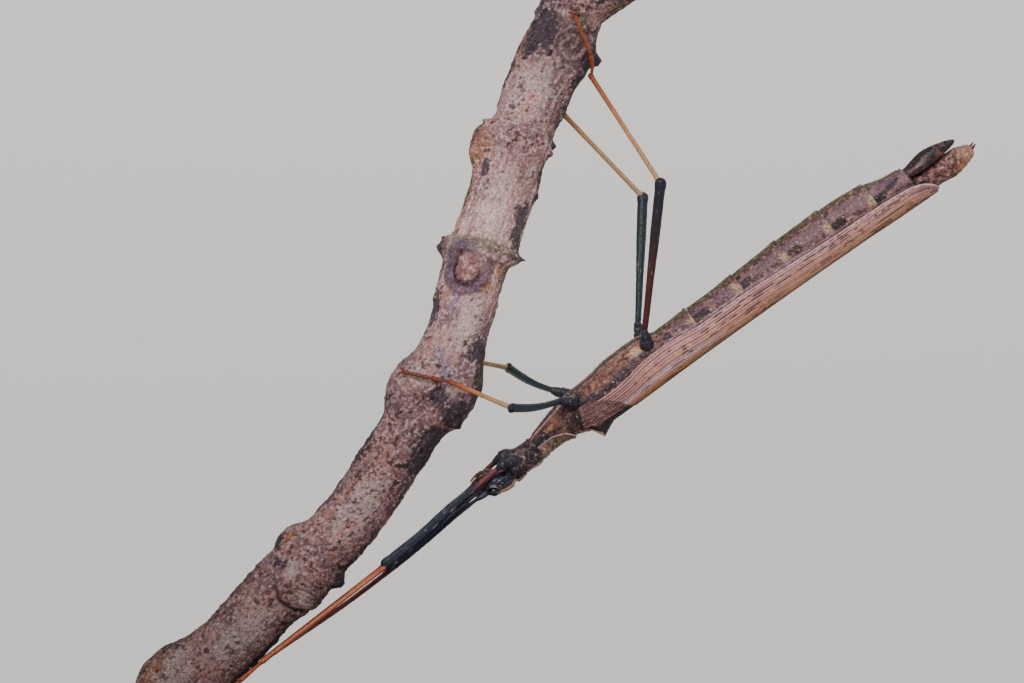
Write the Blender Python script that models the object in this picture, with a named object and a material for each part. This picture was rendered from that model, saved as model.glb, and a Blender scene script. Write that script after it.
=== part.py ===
"""Winged stick insect of the genus Pseudophasma, gripping a cut stem on a plain display stand, life size.

Sizes are in millimetres and MM turns them into metres. The world has +Z up, and the insect's right side
faces -Y. The insect has a frame of its own: X runs from the front of its head to its tail, Y to its right
side and Z to its back. Its body is a row of rings. A ring's outline is given round its waist point by an
angle: 0 is the right side, 90 is the back and -90 is the belly. The stem has an angle too: 0 faces -Y, and
90 faces right and down.
"""

import math

import bmesh
import bpy
import numpy as np
from mathutils import Matrix, Vector

MM = 0.001
GAP = 0.3
WELD = 0.004
# Two rings that round off a tube's end: reach past it and width, as shares of its radius
ROUND_END = ((0.6, 0.8), (0.92, 0.38))

# Display stand
BASE_LENGTH = 112.0
BASE_WIDTH = 60.0
BASE_HEIGHT = 8.0
BASE_CHAMFER = 1.0
ROD_RADIUS = 1.6
ROD_X = -31.5
ROD_Y = 0.5
# Where the rod meets the stem, and how far along the stem reaches the shape that hollows the rod's top
ROD_ALONG = 8.0
ROD_CUTTER = 20.0

# Place of the insect: the front of its head, the rise of its body towards the tail, and its roll
HEAD_FRONT = (1.2, 0.0, 45.0)
BODY_RISE = math.radians(35.4)
BODY_ROLL = math.radians(17.0)

# Body rings, from head to tail: along, belly, waist, back, half width
HEAD_RINGS = (
    (0.35, -0.25, 0.30, 0.75, 0.42),
    (0.80, -0.60, 0.35, 1.25, 0.82),
    (1.50, -0.70, 0.45, 1.65, 1.15),
    (2.30, -0.60, 0.60, 1.95, 1.35),
    (3.00, -0.25, 0.75, 2.08, 1.30),
    (3.50, 0.10, 0.90, 2.02, 1.10),
    (3.75, 0.35, 1.00, 1.85, 0.85),
)
PROTHORAX_RINGS = (
    (4.05, -0.55, 0.55, 1.78, 0.95),
    (4.50, -1.15, 0.40, 1.92, 1.25),
    (5.40, -1.35, 0.20, 1.70, 1.35),
    (6.20, -1.25, 0.15, 1.62, 1.32),
    (7.00, -1.22, 0.15, 1.70, 1.34),
    (7.75, -1.25, 0.10, 1.60, 1.22),
)
MESOTHORAX_RINGS = (
    (8.10, -1.30, 0.05, 1.58, 1.20),
    (9.00, -1.60, -0.05, 1.34, 1.32),
    (10.20, -1.95, -0.15, 1.30, 1.48),
    (11.60, -2.40, -0.30, 1.40, 1.72),
    (13.10, -2.78, -0.45, 1.70, 1.98),
)
METATHORAX_RINGS = (
    (13.45, -2.80, -0.45, 1.80, 2.00),
    (15.30, -2.86, -0.45, 2.30, 2.15),
    (17.20, -3.02, -0.45, 2.30, 2.30),
    (19.60, -3.42, -0.45, 2.30, 2.48),
    (22.70, -3.46, -0.45, 2.25, 2.52),
    (24.40, -3.20, -0.45, 2.20, 2.40),
    (25.40, -2.92, -0.45, 2.20, 2.32),
)
ABDOMEN_RINGS = (
    (25.75, -2.80, -0.45, 2.20, 2.32),
    (28.00, -2.86, -0.45, 2.20, 2.38),
    (33.00, -2.88, -0.45, 2.15, 2.42),
    (39.00, -3.14, -0.45, 2.15, 2.48),
    (44.00, -3.30, -0.45, 2.20, 2.48),
    (49.00, -3.20, -0.45, 2.20, 2.35),
    (52.50, -2.80, -0.45, 2.30, 2.15),
    (55.00, -2.10, -0.35, 2.35, 1.90),
    (57.30, -1.62, -0.25, 2.40, 1.62),
)
OPERCULUM_RINGS = (
    (57.65, -1.48, -0.95, -0.78, 1.15),
    (58.60, -1.75, -0.82, -0.62, 1.22),
    (60.10, -2.04, -0.76, -0.55, 1.12),
    (61.20, -1.92, -0.75, -0.54, 0.92),
    (62.40, -1.62, -0.75, -0.54, 0.64),
    (63.30, -1.30, -0.80, -0.60, 0.40),
    (63.80, -1.04, -0.86, -0.74, 0.18),
)
ANAL_RINGS = (
    (57.65, -0.42, 0.30, 2.30, 1.55),
    (58.60, -0.30, 0.40, 2.30, 1.58),
    (60.20, -0.22, 0.55, 2.15, 1.52),
    (61.90, -0.20, 0.75, 2.38, 1.45),
    (63.20, -0.16, 0.80, 2.14, 1.28),
    (64.10, 0.08, 0.88, 1.90, 1.05),
    (64.75, 0.36, 0.98, 1.62, 0.78),
)
# Where the rings of each part are set
HEAD_PLACES = (0.35, 0.55, 0.8, 1.1, 1.5, 1.9, 2.3, 2.7, 3.0, 3.3, 3.5, 3.75)
PROTHORAX_PLACES = (4.05, 4.25, 4.5, 4.9, 5.4, 5.9, 6.4, 7.0, 7.4, 7.75)
MESOTHORAX_PLACES = (8.1, 8.65, 9.2, 9.75, 10.3, 10.9, 11.5, 12.0, 12.55, 13.1)
METATHORAX_PLACES = (13.45, 14.3, 15.2, 16.1, 17.0, 18.2, 19.2, 20.3, 21.3, 22.3, 23.3, 24.4, 25.4)
OPERCULUM_PLACES = (57.65, 58.1, 58.6, 59.4, 60.1, 60.7, 61.3, 61.9, 62.5, 63.0, 63.4, 63.8)
ANAL_PLACES = (57.65, 58.2, 58.8, 59.4, 59.85, 60.35, 60.9, 61.4, 61.9, 62.5, 63.1, 63.6, 64.1, 64.5, 64.75)
RING_SIDES = 20
TAIL_SIDES = 16
RING_POWER = 2.2
WING_WAIST = -0.45

# Where the abdomen's segments end, and how far each stands out at its rear rim
SEGMENT_ENDS = (25.4, 29.6, 35.8, 41.8, 47.4, 52.9, 57.3)
SEGMENT_FLARE = 0.24
ABDOMEN_CUTS = (35.8, 47.4)
SEGMENT_GROOVE = 0.12
SEGMENT_SHARES = (0.35, 0.68, 0.88, 1.0)

# The joint between mesothorax and metathorax leans forward towards the back
PLEURAL_LEAN = -0.38
MESO_LEAN_START = 10.5
MESO_LEAN_LENGTH = 2.6
META_LEAN_LENGTH = 3.5

# Outer surface of the closed wings: along, back, half width
WING_RINGS = (
    (12.50, 1.52, 1.95),
    (13.70, 1.78, 2.12),
    (14.60, 2.20, 2.32),
    (16.50, 2.40, 2.60),
    (20.00, 2.35, 2.78),
    (28.00, 2.20, 2.74),
    (38.00, 2.16, 2.76),
    (49.00, 2.26, 2.66),
    (54.00, 2.42, 2.50),
    (57.00, 2.50, 2.32),
    (60.50, 2.56, 2.10),
)
WING_THICKNESS = 0.5
WING_TOP_ANGLE = 86.0
WING_ROOT = 18.0
WING_ROOT_GAP = 0.36
WING_TIP = 59.6
WING_ROWS = 16
WING_ROW_POWER = 0.88
# The body sinks under the wings from COVER_MARGIN degrees outside their edge, within COVER_BLEND degrees
COVER_MARGIN = 14.0
COVER_BLEND = 9.0
COVER_PAST_TIP = 0.25
COVER_TIP_BLEND = 0.5
# Angle of the wing's lower edge: along, angle
WING_EDGE = (
    (12.0, -30.0),
    (15.0, -24.0),
    (16.6, -14.0),
    (18.0, -14.0),
    (20.0, -18.0),
    (22.3, -27.0),
    (25.0, -31.0),
    (27.4, -27.0),
    (30.0, -21.0),
    (35.0, -21.0),
    (40.0, -16.0),
    (46.0, -9.0),
    (53.0, -3.0),
    (55.7, 3.0),
    (57.4, 12.0),
    (58.4, 25.0),
    (59.2, 44.0),
    (59.6, 62.0),
)
# Main veins, as shares of the way from the lower edge to the back, and the ridge that each raises
WING_VEINS = (0.09, 0.20, 0.32, 0.45, 0.58, 0.71, 0.84)
VEIN_HEIGHT = 0.13
VEIN_FLANK = 0.022

# Tegmen, the short forewing: its rear rim as angle, along; then its shoulder hump
TEGMEN_REAR = (
    (-30.0, 14.75),
    (-20.0, 15.50),
    (-11.0, 16.40),
    (4.0, 17.40),
    (32.0, 18.40),
    (66.0, 19.20),
    (86.0, 19.35),
)
TEGMEN_FRONT = 13.45
TEGMEN_LOW_ANGLE = -30.0
TEGMEN_ROWS = 12
TEGMEN_VEINS = (0.2, 0.42, 0.6)
TEGMEN_PLAIN_COLUMNS = (0.72, 0.815, 0.90)
HUMP_ALONG = 14.6
HUMP_ANGLE = 64.0
HUMP_HEIGHT = 1.15
HUMP_REACH_FRONT = 0.9
HUMP_REACH_REAR = 1.9
HUMP_SPREAD = 19.0
HUMP_SLOPE = 1.2

# Head details
EYE_PLACE = (1.40, 1.20, 0.95)
EYE_RADIUS = 0.52
EYE_SIDES = 14
EYE_ROWS = 9
JAW_PATH = ((2.55, 0.0, -0.45), (1.70, 0.0, -0.78), (0.85, 0.0, -0.72), (0.45, 0.0, -0.35))
JAW_RADII = (0.42, 0.58, 0.55, 0.35)
LABRUM_PATH = ((0.75, 0.0, 0.20), (0.22, 0.0, -0.10), (0.10, 0.0, -0.50))
LABRUM_RADII = (0.42, 0.36, 0.22)
LABRUM_FLAT = 1.1
PALP_PATHS = (
    ((1.35, 0.38, -1.00), (0.60, 0.46, -1.20), (-0.10, 0.40, -1.02)),
    ((1.95, 0.20, -1.10), (1.35, 0.22, -1.36), (0.70, 0.20, -1.38)),
)
PALP_RADII = (0.16, 0.14, 0.15, 0.13, 0.10)
SCAPE_PATH = ((1.00, 0.62, 0.72), (0.30, 0.74, 0.72), (-0.45, 0.78, 0.66))
SCAPE_RINGS = 5
SCAPE_RADII = (0.32, 0.34, 0.25)
ANTENNA_PATH = (
    (-0.98, 0.78, 0.66),
    (-2.00, 0.62, 0.78),
    (-3.60, 0.42, 0.95),
    (-7.50, 0.33, 1.40),
    (-12.20, 0.33, 1.74),
    (-19.40, 0.33, 1.95),
    (-28.90, 0.33, 1.80),
    (-33.20, 0.33, 2.15),
    (-36.60, 0.36, 3.10),
    (-39.60, 0.38, 4.30),
)
ANTENNA_RINGS = 21
ANTENNA_RADII = (0.27, 0.26, 0.25, 0.25, 0.25, 0.25, 0.25, 0.23, 0.18, 0.10)
CERCUS_PATH = ((65.07, 0.45, 0.98), (65.50, 0.47, 0.92), (65.85, 0.44, 0.84))
CERCUS_RADII = (0.22, 0.20, 0.10)

# Legs. Coxa, trochanter and fore knee are in the insect's frame for the right side, other knees in the world
LEGS = {
    "fore": {
        "neighbours": ("prothorax",),
        "coxa": ((5.45, 0.55, -0.45), (4.75, 1.10, -0.85), (3.55, 1.18, -0.98)),
        "coxa_radii": (0.62, 0.60, 0.36),
        "femur_start": (3.30, 1.18, -0.96),
        "femur_bend_right": (
            (1.90, 1.34, -0.90),
            (0.45, 1.36, -0.72),
            (-1.50, 1.18, -0.42),
            (-3.60, 1.02, -0.12),
            (-7.50, 0.90, 0.46),
        ),
        "femur_bend_left": (
            (2.20, -1.42, -0.74),
            (1.00, -1.48, -0.42),
            (-0.60, -1.38, 0.02),
            (-3.60, -1.05, 0.30),
            (-7.50, -0.90, 0.88),
        ),
        "femur_radii": (0.27, 0.30, 0.36, 0.48, 0.56, 0.60, 0.62, 0.60),
        "flat": 0.50,
        "knee_right": (-12.60, 0.80, 0.84),
        "knee_left": (-12.60, -0.80, 1.18),
        "ankle_lift": 0.40,
        "tibia_radii": (0.27, 0.25, 0.26, 0.28),
        "ankle_right": (18.6, 62.0),
        "toe_right": (10.2, 64.0),
        "ankle_left": (18.2, 118.0),
        "toe_left": (9.8, 116.0),
    },
    "mid": {
        "neighbours": ("mesothorax", "metathorax"),
        "coxa": ((14.10, 0.90, -1.75), (13.90, 1.60, -2.35), (13.20, 2.05, -3.10)),
        "coxa_radii": (0.72, 0.70, 0.46),
        "femur_start": (12.95, 2.15, -3.42),
        "femur_bend_right": (),
        "femur_bend_left": (),
        "femur_radii": (0.32, 0.36, 0.44, 0.48),
        "flat": 0.85,
        "knee_right": (5.0, -10.0, 54.0),
        "knee_left": (4.6, 9.0, 58.1),
        "ankle_lift": 0.0,
        "tibia_radii": (0.30, 0.25, 0.25, 0.27),
        "ankle_right": (54.3, 18.0),
        "toe_right": (52.9, -52.0),
        "ankle_left": (56.6, 160.0),
        "toe_left": (55.2, 226.0),
    },
    "hind": {
        "neighbours": ("metathorax",),
        "coxa": ((23.70, 0.90, -1.90), (24.00, 1.50, -2.85), (24.35, 1.72, -3.70)),
        "coxa_radii": (0.90, 0.84, 0.50),
        "femur_start": (24.48, 1.74, -4.05),
        "femur_bend_right": (),
        "femur_bend_left": (),
        "femur_radii": (0.30, 0.38, 0.52, 0.56),
        "flat": 0.80,
        "knee_right": (20.8, -6.3, 77.8),
        "knee_left": (19.3, 5.2, 76.8),
        "ankle_lift": 0.30,
        "tibia_radii": (0.28, 0.25, 0.25, 0.27),
        "ankle_right": (90.3, 80.0),
        "toe_right": (95.9, 16.0),
        "ankle_left": (85.2, 116.0),
        "toe_left": (91.2, 160.0),
    },
}
COXA_RINGS = 5
FEMUR_RINGS = 12
TIBIA_RINGS = 8
# Tarsus: its joints as shares of its length, the radii of each, and how far its middle stands off the stem
TARSUS_SHARES = (0.42, 0.17, 0.13, 0.10, 0.18)
TARSUS_START = 0.06
TARSUS_NECK = 0.19
TARSUS_WAIST = 0.25
TARSUS_RADIUS = 0.27
TARSUS_LIFT = 0.62
JOINT_MIDDLE = 0.55
JOINT_END = 0.92
JOINT_NOTCH = 0.012
CLAW_LENGTH = 0.75
CLAW_SPREAD = math.radians(38.0)
CLAW_RADII = (0.12, 0.10, 0.05)
CLAW_BEND = 0.6
CLAW_ARCH = 0.16
CLAW_HOOK = 0.12

# Stem: its axis in the world, from the lower cut to the upper one, and its plain radius
PERCH_AXIS = (
    (-37.3, 0.8, 16.1),
    (-31.0, 0.6, 23.0),
    (-24.9, 0.3, 29.2),
    (-18.8, 0.0, 35.3),
    (-12.8, 0.0, 41.4),
    (-7.9, 0.0, 48.5),
    (-3.5, 0.0, 55.8),
    (-0.2, 0.0, 63.8),
    (2.0, 0.0, 72.2),
    (5.0, 0.0, 80.4),
    (7.9, 0.2, 88.5),
    (11.2, 0.4, 96.4),
    (13.2, 0.5, 102.0),
)
PERCH_RADIUS = 3.3
PERCH_SIDES = 20
PERCH_STEP = 1.9
PERCH_CUTS = (38.0, 72.0)
# Lengths of the stem whose rings stand at half the usual step
PERCH_FINE = ((26.0, 32.0), (46.0, 51.5), (64.0, 70.5), (90.0, 95.0))
# Swellings of the stem: along, angle of the middle, height, half length, half spread (180 goes all round)
KNOTS = (
    (10.0, -90.0, 1.55, 3.6, 75.0),
    (5.5, 90.0, 0.40, 4.0, 80.0),
    (18.0, 90.0, 0.35, 4.0, 75.0),
    (24.5, -90.0, 0.35, 5.0, 85.0),
    (27.0, 60.0, 0.65, 2.8, 100.0),
    (29.9, -88.0, 0.95, 1.9, 60.0),
    (30.2, 90.0, 0.75, 0.9, 35.0),
    (28.4, 5.0, 0.55, 2.6, 60.0),
    (53.6, 92.0, 1.00, 3.6, 85.0),
    (51.4, -90.0, 1.00, 3.0, 85.0),
    (52.6, 0.0, 0.40, 3.6, 180.0),
    (68.2, 0.0, 0.62, 0.9, 180.0),
    (67.4, -90.0, 0.50, 1.1, 50.0),
    (66.6, -8.0, 0.50, 2.0, 50.0),
    (64.0, -90.0, 0.35, 3.2, 70.0),
    (79.0, -90.0, 1.35, 2.6, 70.0),
    (80.8, 0.0, 0.30, 1.2, 180.0),
    (88.5, -90.0, 0.35, 4.5, 70.0),
    (91.2, 60.0, 0.75, 2.8, 80.0),
    (92.2, 92.0, 0.50, 0.9, 30.0),
)
KNOT_POWER = 3.0
SHOOT_PATH = ((10.6, 0.4, 95.2), (13.8, 0.45, 97.7), (17.0, 0.5, 99.7), (21.5, 0.6, 102.2))
SHOOT_RADII = (2.5, 2.4, 2.3, 2.2)
SHOOT_RINGS = 7
SHOOT_CUTTER = 18.0

# Colour, roughness and metallic value of each material
MATERIALS = {
    "dark_chitin": ((0.030, 0.036, 0.052), 0.35, 0.0),
    "brown_chitin": ((0.155, 0.095, 0.080), 0.50, 0.0),
    "abdomen_chitin": ((0.270, 0.175, 0.155), 0.50, 0.0),
    "tibia_chitin": ((0.480, 0.190, 0.085), 0.45, 0.0),
    "tarsus_chitin": ((0.380, 0.110, 0.060), 0.45, 0.0),
    "wing_membrane": ((0.480, 0.270, 0.210), 0.45, 0.0),
    "tegmen_membrane": ((0.210, 0.125, 0.110), 0.50, 0.0),
    "eye_lens": ((0.020, 0.014, 0.024), 0.08, 0.0),
    "bark": ((0.260, 0.190, 0.175), 0.85, 0.0),
    "base_wood": ((0.090, 0.050, 0.030), 0.45, 0.0),
    "rod_steel": ((0.420, 0.420, 0.430), 0.30, 1.0),
}


def clear_scene():
    for thing in list(bpy.data.objects):
        bpy.data.objects.remove(thing, do_unlink=True)


def make_material(name):
    colour, roughness, metallic = MATERIALS[name]
    material = bpy.data.materials.new(name)
    material.use_nodes = True
    shader = material.node_tree.nodes["Principled BSDF"]
    shader.inputs["Base Color"].default_value = (*colour, 1.0)
    shader.inputs["Roughness"].default_value = roughness
    shader.inputs["Metallic"].default_value = metallic
    return material


def material_named(name):
    return bpy.data.materials.get(name) or make_material(name)


# Interpolation


def smooth_rows(rows, x):
    """Every column of rows at x, along smooth curves that never overshoot the rows."""
    table = np.array(rows, dtype=float)
    knots = table[:, 0]
    values = table[:, 1:]
    steps = np.diff(knots)[:, None]
    slopes = np.diff(values, axis=0) / steps
    tangents = np.zeros_like(values)
    tangents[0] = slopes[0]
    tangents[-1] = slopes[-1]
    before = slopes[:-1]
    after = slopes[1:]
    same_sign = before * after > 0
    total = np.where(same_sign, before + after, 1.0)
    tangents[1:-1] = np.where(same_sign, 2.0 * before * after / total, 0.0)
    x = float(np.clip(x, knots[0], knots[-1]))
    i = int(np.clip(np.searchsorted(knots, x) - 1, 0, len(knots) - 2))
    step = knots[i + 1] - knots[i]
    t = (x - knots[i]) / step
    start = values[i] * (1 + 2 * t) * (1 - t) ** 2 + tangents[i] * step * t * (1 - t) ** 2
    end = values[i + 1] * t * t * (3 - 2 * t) + tangents[i + 1] * step * t * t * (t - 1)
    return start + end


def ease(t):
    """A soft step from 0 to 1."""
    t = min(max(t, 0.0), 1.0)
    return t * t * (3.0 - 2.0 * t)


# Mesh helpers


def new_object(name, vertices, faces, material, parent=None):
    """A named object from points in millimetres, with its faces turned outwards."""
    mesh = bpy.data.meshes.new(name)
    mesh.from_pydata([Vector(point) * MM for point in vertices], [], faces)
    work = bmesh.new()
    work.from_mesh(mesh)
    bmesh.ops.recalc_face_normals(work, faces=work.faces)
    work.to_mesh(mesh)
    work.free()
    mesh.materials.append(material_named(material))
    mesh.shade_smooth()
    mesh.set_sharp_from_angle(angle=math.radians(40.0))
    thing = bpy.data.objects.new(name, mesh)
    bpy.context.scene.collection.objects.link(thing)
    thing.parent = parent
    return thing


def loft(rings):
    """Vertices and faces of a closed tube through rings of points, with flat ends."""
    sides = len(rings[0])
    vertices = [point for ring in rings for point in ring]
    faces = []
    for i in range(len(rings) - 1):
        for j in range(sides):
            k = (j + 1) % sides
            faces.append((i * sides + j, i * sides + k, (i + 1) * sides + k, (i + 1) * sides + j))
    faces.append(tuple(reversed(range(sides))))
    last = (len(rings) - 1) * sides
    faces.append(tuple(range(last, last + sides)))
    return vertices, faces


def smooth_path(points, count):
    """Points spread evenly along a smooth curve through the given ones."""
    points = [Vector(point) for point in points]
    lengths = np.cumsum([0.0] + [(b - a).length for a, b in zip(points, points[1:])])
    if len(points) == 2:
        return [points[0].lerp(points[1], t) for t in np.linspace(0.0, 1.0, count)]
    rows = [(length, *point) for length, point in zip(lengths, points)]
    return [Vector(smooth_rows(rows, length)) for length in np.linspace(0.0, lengths[-1], count)]


def spread_values(values, count):
    return np.interp(np.linspace(0.0, 1.0, count), np.linspace(0.0, 1.0, len(values)), values)


def tube_rings(path, radii, sides=8, flat=1.0, side_axis=(0.0, 1.0, 0.0), round_ends=(True, True)):
    """Rings round a path. flat narrows them along side_axis. Round ends reach almost a radius past it."""
    path = [Vector(point) for point in path]
    centres = []
    for i, (point, radius) in enumerate(zip(path, radii)):
        ahead = path[min(i + 1, len(path) - 1)] - path[max(i - 1, 0)]
        centres.append((point, radius, ahead.normalized()))
    if round_ends[0]:
        point, radius, ahead = centres[0]
        for reach, width in ROUND_END:
            centres.insert(0, (point - ahead * radius * reach, radius * width, ahead))
    if round_ends[1]:
        point, radius, ahead = centres[-1]
        for reach, width in ROUND_END:
            centres.append((point + ahead * radius * reach, radius * width, ahead))
    rings = []
    for point, radius, ahead in centres:
        across = Vector(side_axis)
        across = (across - ahead * across.dot(ahead)).normalized()
        upright = ahead.cross(across)
        ring = []
        for j in range(sides):
            angle = 2.0 * math.pi * (j + 0.5) / sides
            ring.append(point + across * math.cos(angle) * radius * flat + upright * math.sin(angle) * radius)
        rings.append(ring)
    return rings


def tube(name, path, radii, material, parent=None, **options):
    vertices, faces = loft(tube_rings(path, radii, **options))
    return new_object(name, vertices, faces, material, parent)


def apply_boolean(thing, operation, cutter=None, collection=None):
    """Applies one Boolean to the thing, by EXACT."""
    modifier = thing.modifiers.new("shape", "BOOLEAN")
    modifier.operation = operation
    modifier.solver = "EXACT"
    if cutter is not None:
        modifier.object = cutter
    else:
        modifier.operand_type = "COLLECTION"
        modifier.collection = collection
    bpy.context.view_layer.update()
    shaped = bpy.data.meshes.new_from_object(thing.evaluated_get(bpy.context.evaluated_depsgraph_get()))
    thing.modifiers.clear()
    thing.data = shaped
    keep_largest(thing)


def keep_largest(thing):
    """Welds the mesh and leaves only its largest closed surface."""
    work = bmesh.new()
    work.from_mesh(thing.data)
    bmesh.ops.remove_doubles(work, verts=work.verts, dist=WELD * MM)
    bmesh.ops.dissolve_degenerate(work, edges=work.edges, dist=WELD * MM)
    left = set(work.verts)
    groups = []
    while left:
        group = set()
        frontier = [left.pop()]
        while frontier:
            vertex = frontier.pop()
            group.add(vertex)
            for edge in vertex.link_edges:
                other = edge.other_vert(vertex)
                if other in left:
                    left.remove(other)
                    frontier.append(other)
        groups.append(group)
    largest = max(groups, key=len)
    bmesh.ops.delete(work, geom=[v for v in work.verts if v not in largest], context="VERTS")
    bmesh.ops.triangulate(work, faces=[face for face in work.faces if len(face.verts) > 4])
    work.to_mesh(thing.data)
    work.free()


def cut_away(thing, cutters):
    """Cuts each closed mesh away from the thing, then removes the cutters."""
    for cutter in cutters:
        cutter.display_type = "WIRE"
        cutter.hide_render = True
        apply_boolean(thing, "DIFFERENCE", cutter=cutter)
        bpy.data.objects.remove(cutter, do_unlink=True)


def fuse(thing, pieces):
    """Fuses closed pieces into the thing by one union on their collection."""
    collection = bpy.data.collections.new("pieces")
    bpy.context.scene.collection.children.link(collection)
    for piece in pieces:
        bpy.context.scene.collection.objects.unlink(piece)
        collection.objects.link(piece)
    apply_boolean(thing, "UNION", collection=collection)
    for piece in pieces:
        bpy.data.objects.remove(piece, do_unlink=True)
    bpy.data.collections.remove(collection)


# The insect's frame


def insect_matrix():
    """Carries the insect's own frame into the world, in metres."""
    rise = BODY_RISE
    tail = Vector((math.cos(rise), 0.0, math.sin(rise)))
    belly_up = Vector((-math.sin(rise), 0.0, math.cos(rise)))
    towards_viewer = Vector((0.0, -1.0, 0.0))
    back = -(math.cos(BODY_ROLL) * belly_up + math.sin(BODY_ROLL) * towards_viewer)
    right = math.cos(BODY_ROLL) * towards_viewer - math.sin(BODY_ROLL) * belly_up
    turn = Matrix((tail, right, back)).transposed().to_4x4()
    return Matrix.Translation(Vector(HEAD_FRONT) * MM) @ turn


def insect_to_world(point):
    """A point of the insect's frame in world millimetres."""
    return (insect_matrix() @ (Vector(point) * MM)) / MM


def mirrored(point, side):
    """A point given for the right side, for side 1, or its mirror on the left, for side -1."""
    return (point[0], point[1] * side, point[2])


def bent_radius(angle, half_width, height):
    """Distance from the waist to a rounded outline with this half width and height."""
    across = abs(math.cos(angle)) / half_width
    up = abs(math.sin(angle)) / height
    return (across**RING_POWER + up**RING_POWER) ** (-1.0 / RING_POWER)


def wing_radius(along, degrees):
    """Outer surface of the closed wings, from the wing's waist."""
    back, half_width = smooth_rows(WING_RINGS, along)
    height = back - WING_WAIST if degrees > 0 else half_width
    return bent_radius(math.radians(degrees), half_width, height)


def wing_cover(along, degrees):
    """How fully a wing lies over the body here, from 0 to 1."""
    edge = smooth_rows(WING_EDGE, along)[0]
    tip = 1.0 - ease((along - WING_TIP - COVER_PAST_TIP) / COVER_TIP_BLEND)
    return ease((degrees - edge + COVER_MARGIN) / COVER_BLEND) * tip


def segment_flare(along):
    """Extra radius of a segment, growing towards its rear rim."""
    start = SEGMENT_ENDS[0]
    for end in SEGMENT_ENDS[1:]:
        if along <= end + 0.01:
            return SEGMENT_FLARE * max(0.0, (along - start) / (end - start)) ** 3
        start = end
    return 0.0


def body_ring(rings, along, sides=RING_SIDES, grow=0.0, winged=False, flared=False, lean=0.0):
    """One ring of the body. A winged ring sinks under the wings, and lean shifts it along as it rises."""
    belly, waist, back, half_width = smooth_rows(rings, along)
    ring = []
    for j in range(sides):
        degrees = -90.0 + 360.0 * j / sides
        angle = math.radians(degrees)
        height = back - waist if math.sin(angle) > 0 else waist - belly
        radius = bent_radius(angle, half_width, height)
        folded = degrees if degrees <= 90.0 else 180.0 - degrees
        if flared:
            radius += segment_flare(along) * ease((30.0 - folded) / 60.0)
        radius += grow
        y = radius * math.cos(angle)
        z = waist + radius * math.sin(angle)
        if winged:
            y, z = under_wing(along, y, z, grow)
        ring.append((along + lean * (z - WING_WAIST), y, z))
    return ring


def under_wing(along, y, z, grow):
    """Moves a point of the body in towards the wing's waist where a wing lies over it."""
    radius = math.hypot(y, z - WING_WAIST)
    degrees = math.degrees(math.atan2(z - WING_WAIST, abs(y)))
    room = wing_radius(along, degrees) - WING_THICKNESS - GAP + grow
    sunk = radius + (min(radius, room) - radius) * wing_cover(along, degrees)
    share = sunk / radius
    return y * share, WING_WAIST + (z - WING_WAIST) * share


def body_part(name, rings, places, material, parent, lean_at=None, **options):
    """A length of the body through rings at the given places along it."""
    lean_at = lean_at or (lambda along: 0.0)
    hoops = [body_ring(rings, along, lean=lean_at(along), **options) for along in places]
    vertices, faces = loft(hoops)
    return new_object(name, vertices, faces, material, parent)


def meso_lean(along):
    """How the mesothorax's rings begin to lean towards its rear."""
    return PLEURAL_LEAN * ease((along - MESO_LEAN_START) / MESO_LEAN_LENGTH)


def meta_lean(along):
    """How the metathorax's rings stand up straight again from its front."""
    return PLEURAL_LEAN * (1.0 - ease((along - METATHORAX_RINGS[0][0]) / META_LEAN_LENGTH))


# Body


def make_head(insect):
    """Head capsule with its jaws, upper lip and two pairs of palps, hollowed for the eyes."""
    head = body_part("head", HEAD_RINGS, HEAD_PLACES, "dark_chitin", insect)
    mouth = [
        tube("jaws", JAW_PATH, JAW_RADII, "dark_chitin", insect, sides=10),
        tube("labrum", LABRUM_PATH, LABRUM_RADII, "dark_chitin", insect, sides=8, flat=LABRUM_FLAT),
    ]
    for side in (1, -1):
        for points in PALP_PATHS:
            path = smooth_path([mirrored(point, side) for point in points], len(PALP_RADII))
            mouth.append(tube("palp", path, PALP_RADII, "dark_chitin", insect, sides=6))
    fuse(head, mouth)
    cut_away(head, [make_eye("socket", side, EYE_RADIUS + GAP, insect) for side in (1, -1)])


def make_eye(name, side, radius, insect):
    work = bmesh.new()
    bmesh.ops.create_uvsphere(work, u_segments=EYE_SIDES, v_segments=EYE_ROWS, radius=radius)
    vertices = [vertex.co + Vector(mirrored(EYE_PLACE, side)) for vertex in work.verts]
    faces = [[vertex.index for vertex in face.verts] for face in work.faces]
    work.free()
    return new_object(name, vertices, faces, "eye_lens", insect)


def make_antenna(label, side, insect):
    path = smooth_path([mirrored(point, side) for point in SCAPE_PATH], SCAPE_RINGS)
    radii = spread_values(SCAPE_RADII, SCAPE_RINGS)
    scape = tube(f"antenna_base_{label}", path, radii, "dark_chitin", insect, round_ends=(False, True))
    cut_away(scape, [body_part("cutter", HEAD_RINGS, HEAD_PLACES, "dark_chitin", insect, grow=GAP)])
    path = smooth_path([mirrored(point, side) for point in ANTENNA_PATH], ANTENNA_RINGS)
    radii = spread_values(ANTENNA_RADII, ANTENNA_RINGS)
    tube(f"antenna_{label}", path, radii, "dark_chitin", insect, sides=6)


def thorax_part(name, insect, grow=0.0):
    """Prothorax, mesothorax or metathorax, larger all round by grow."""
    rings, places, material, options = {
        "prothorax": (PROTHORAX_RINGS, PROTHORAX_PLACES, "dark_chitin", {}),
        "mesothorax": (MESOTHORAX_RINGS, MESOTHORAX_PLACES, "brown_chitin", {"lean_at": meso_lean}),
        "metathorax": (METATHORAX_RINGS, METATHORAX_PLACES, "brown_chitin", {"lean_at": meta_lean}),
    }[name]
    places = (places[0] - grow, *places[1:-1], places[-1] + grow)
    return body_part(name, rings, places, material, insect, grow=grow, winged=name == "metathorax", **options)


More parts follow.
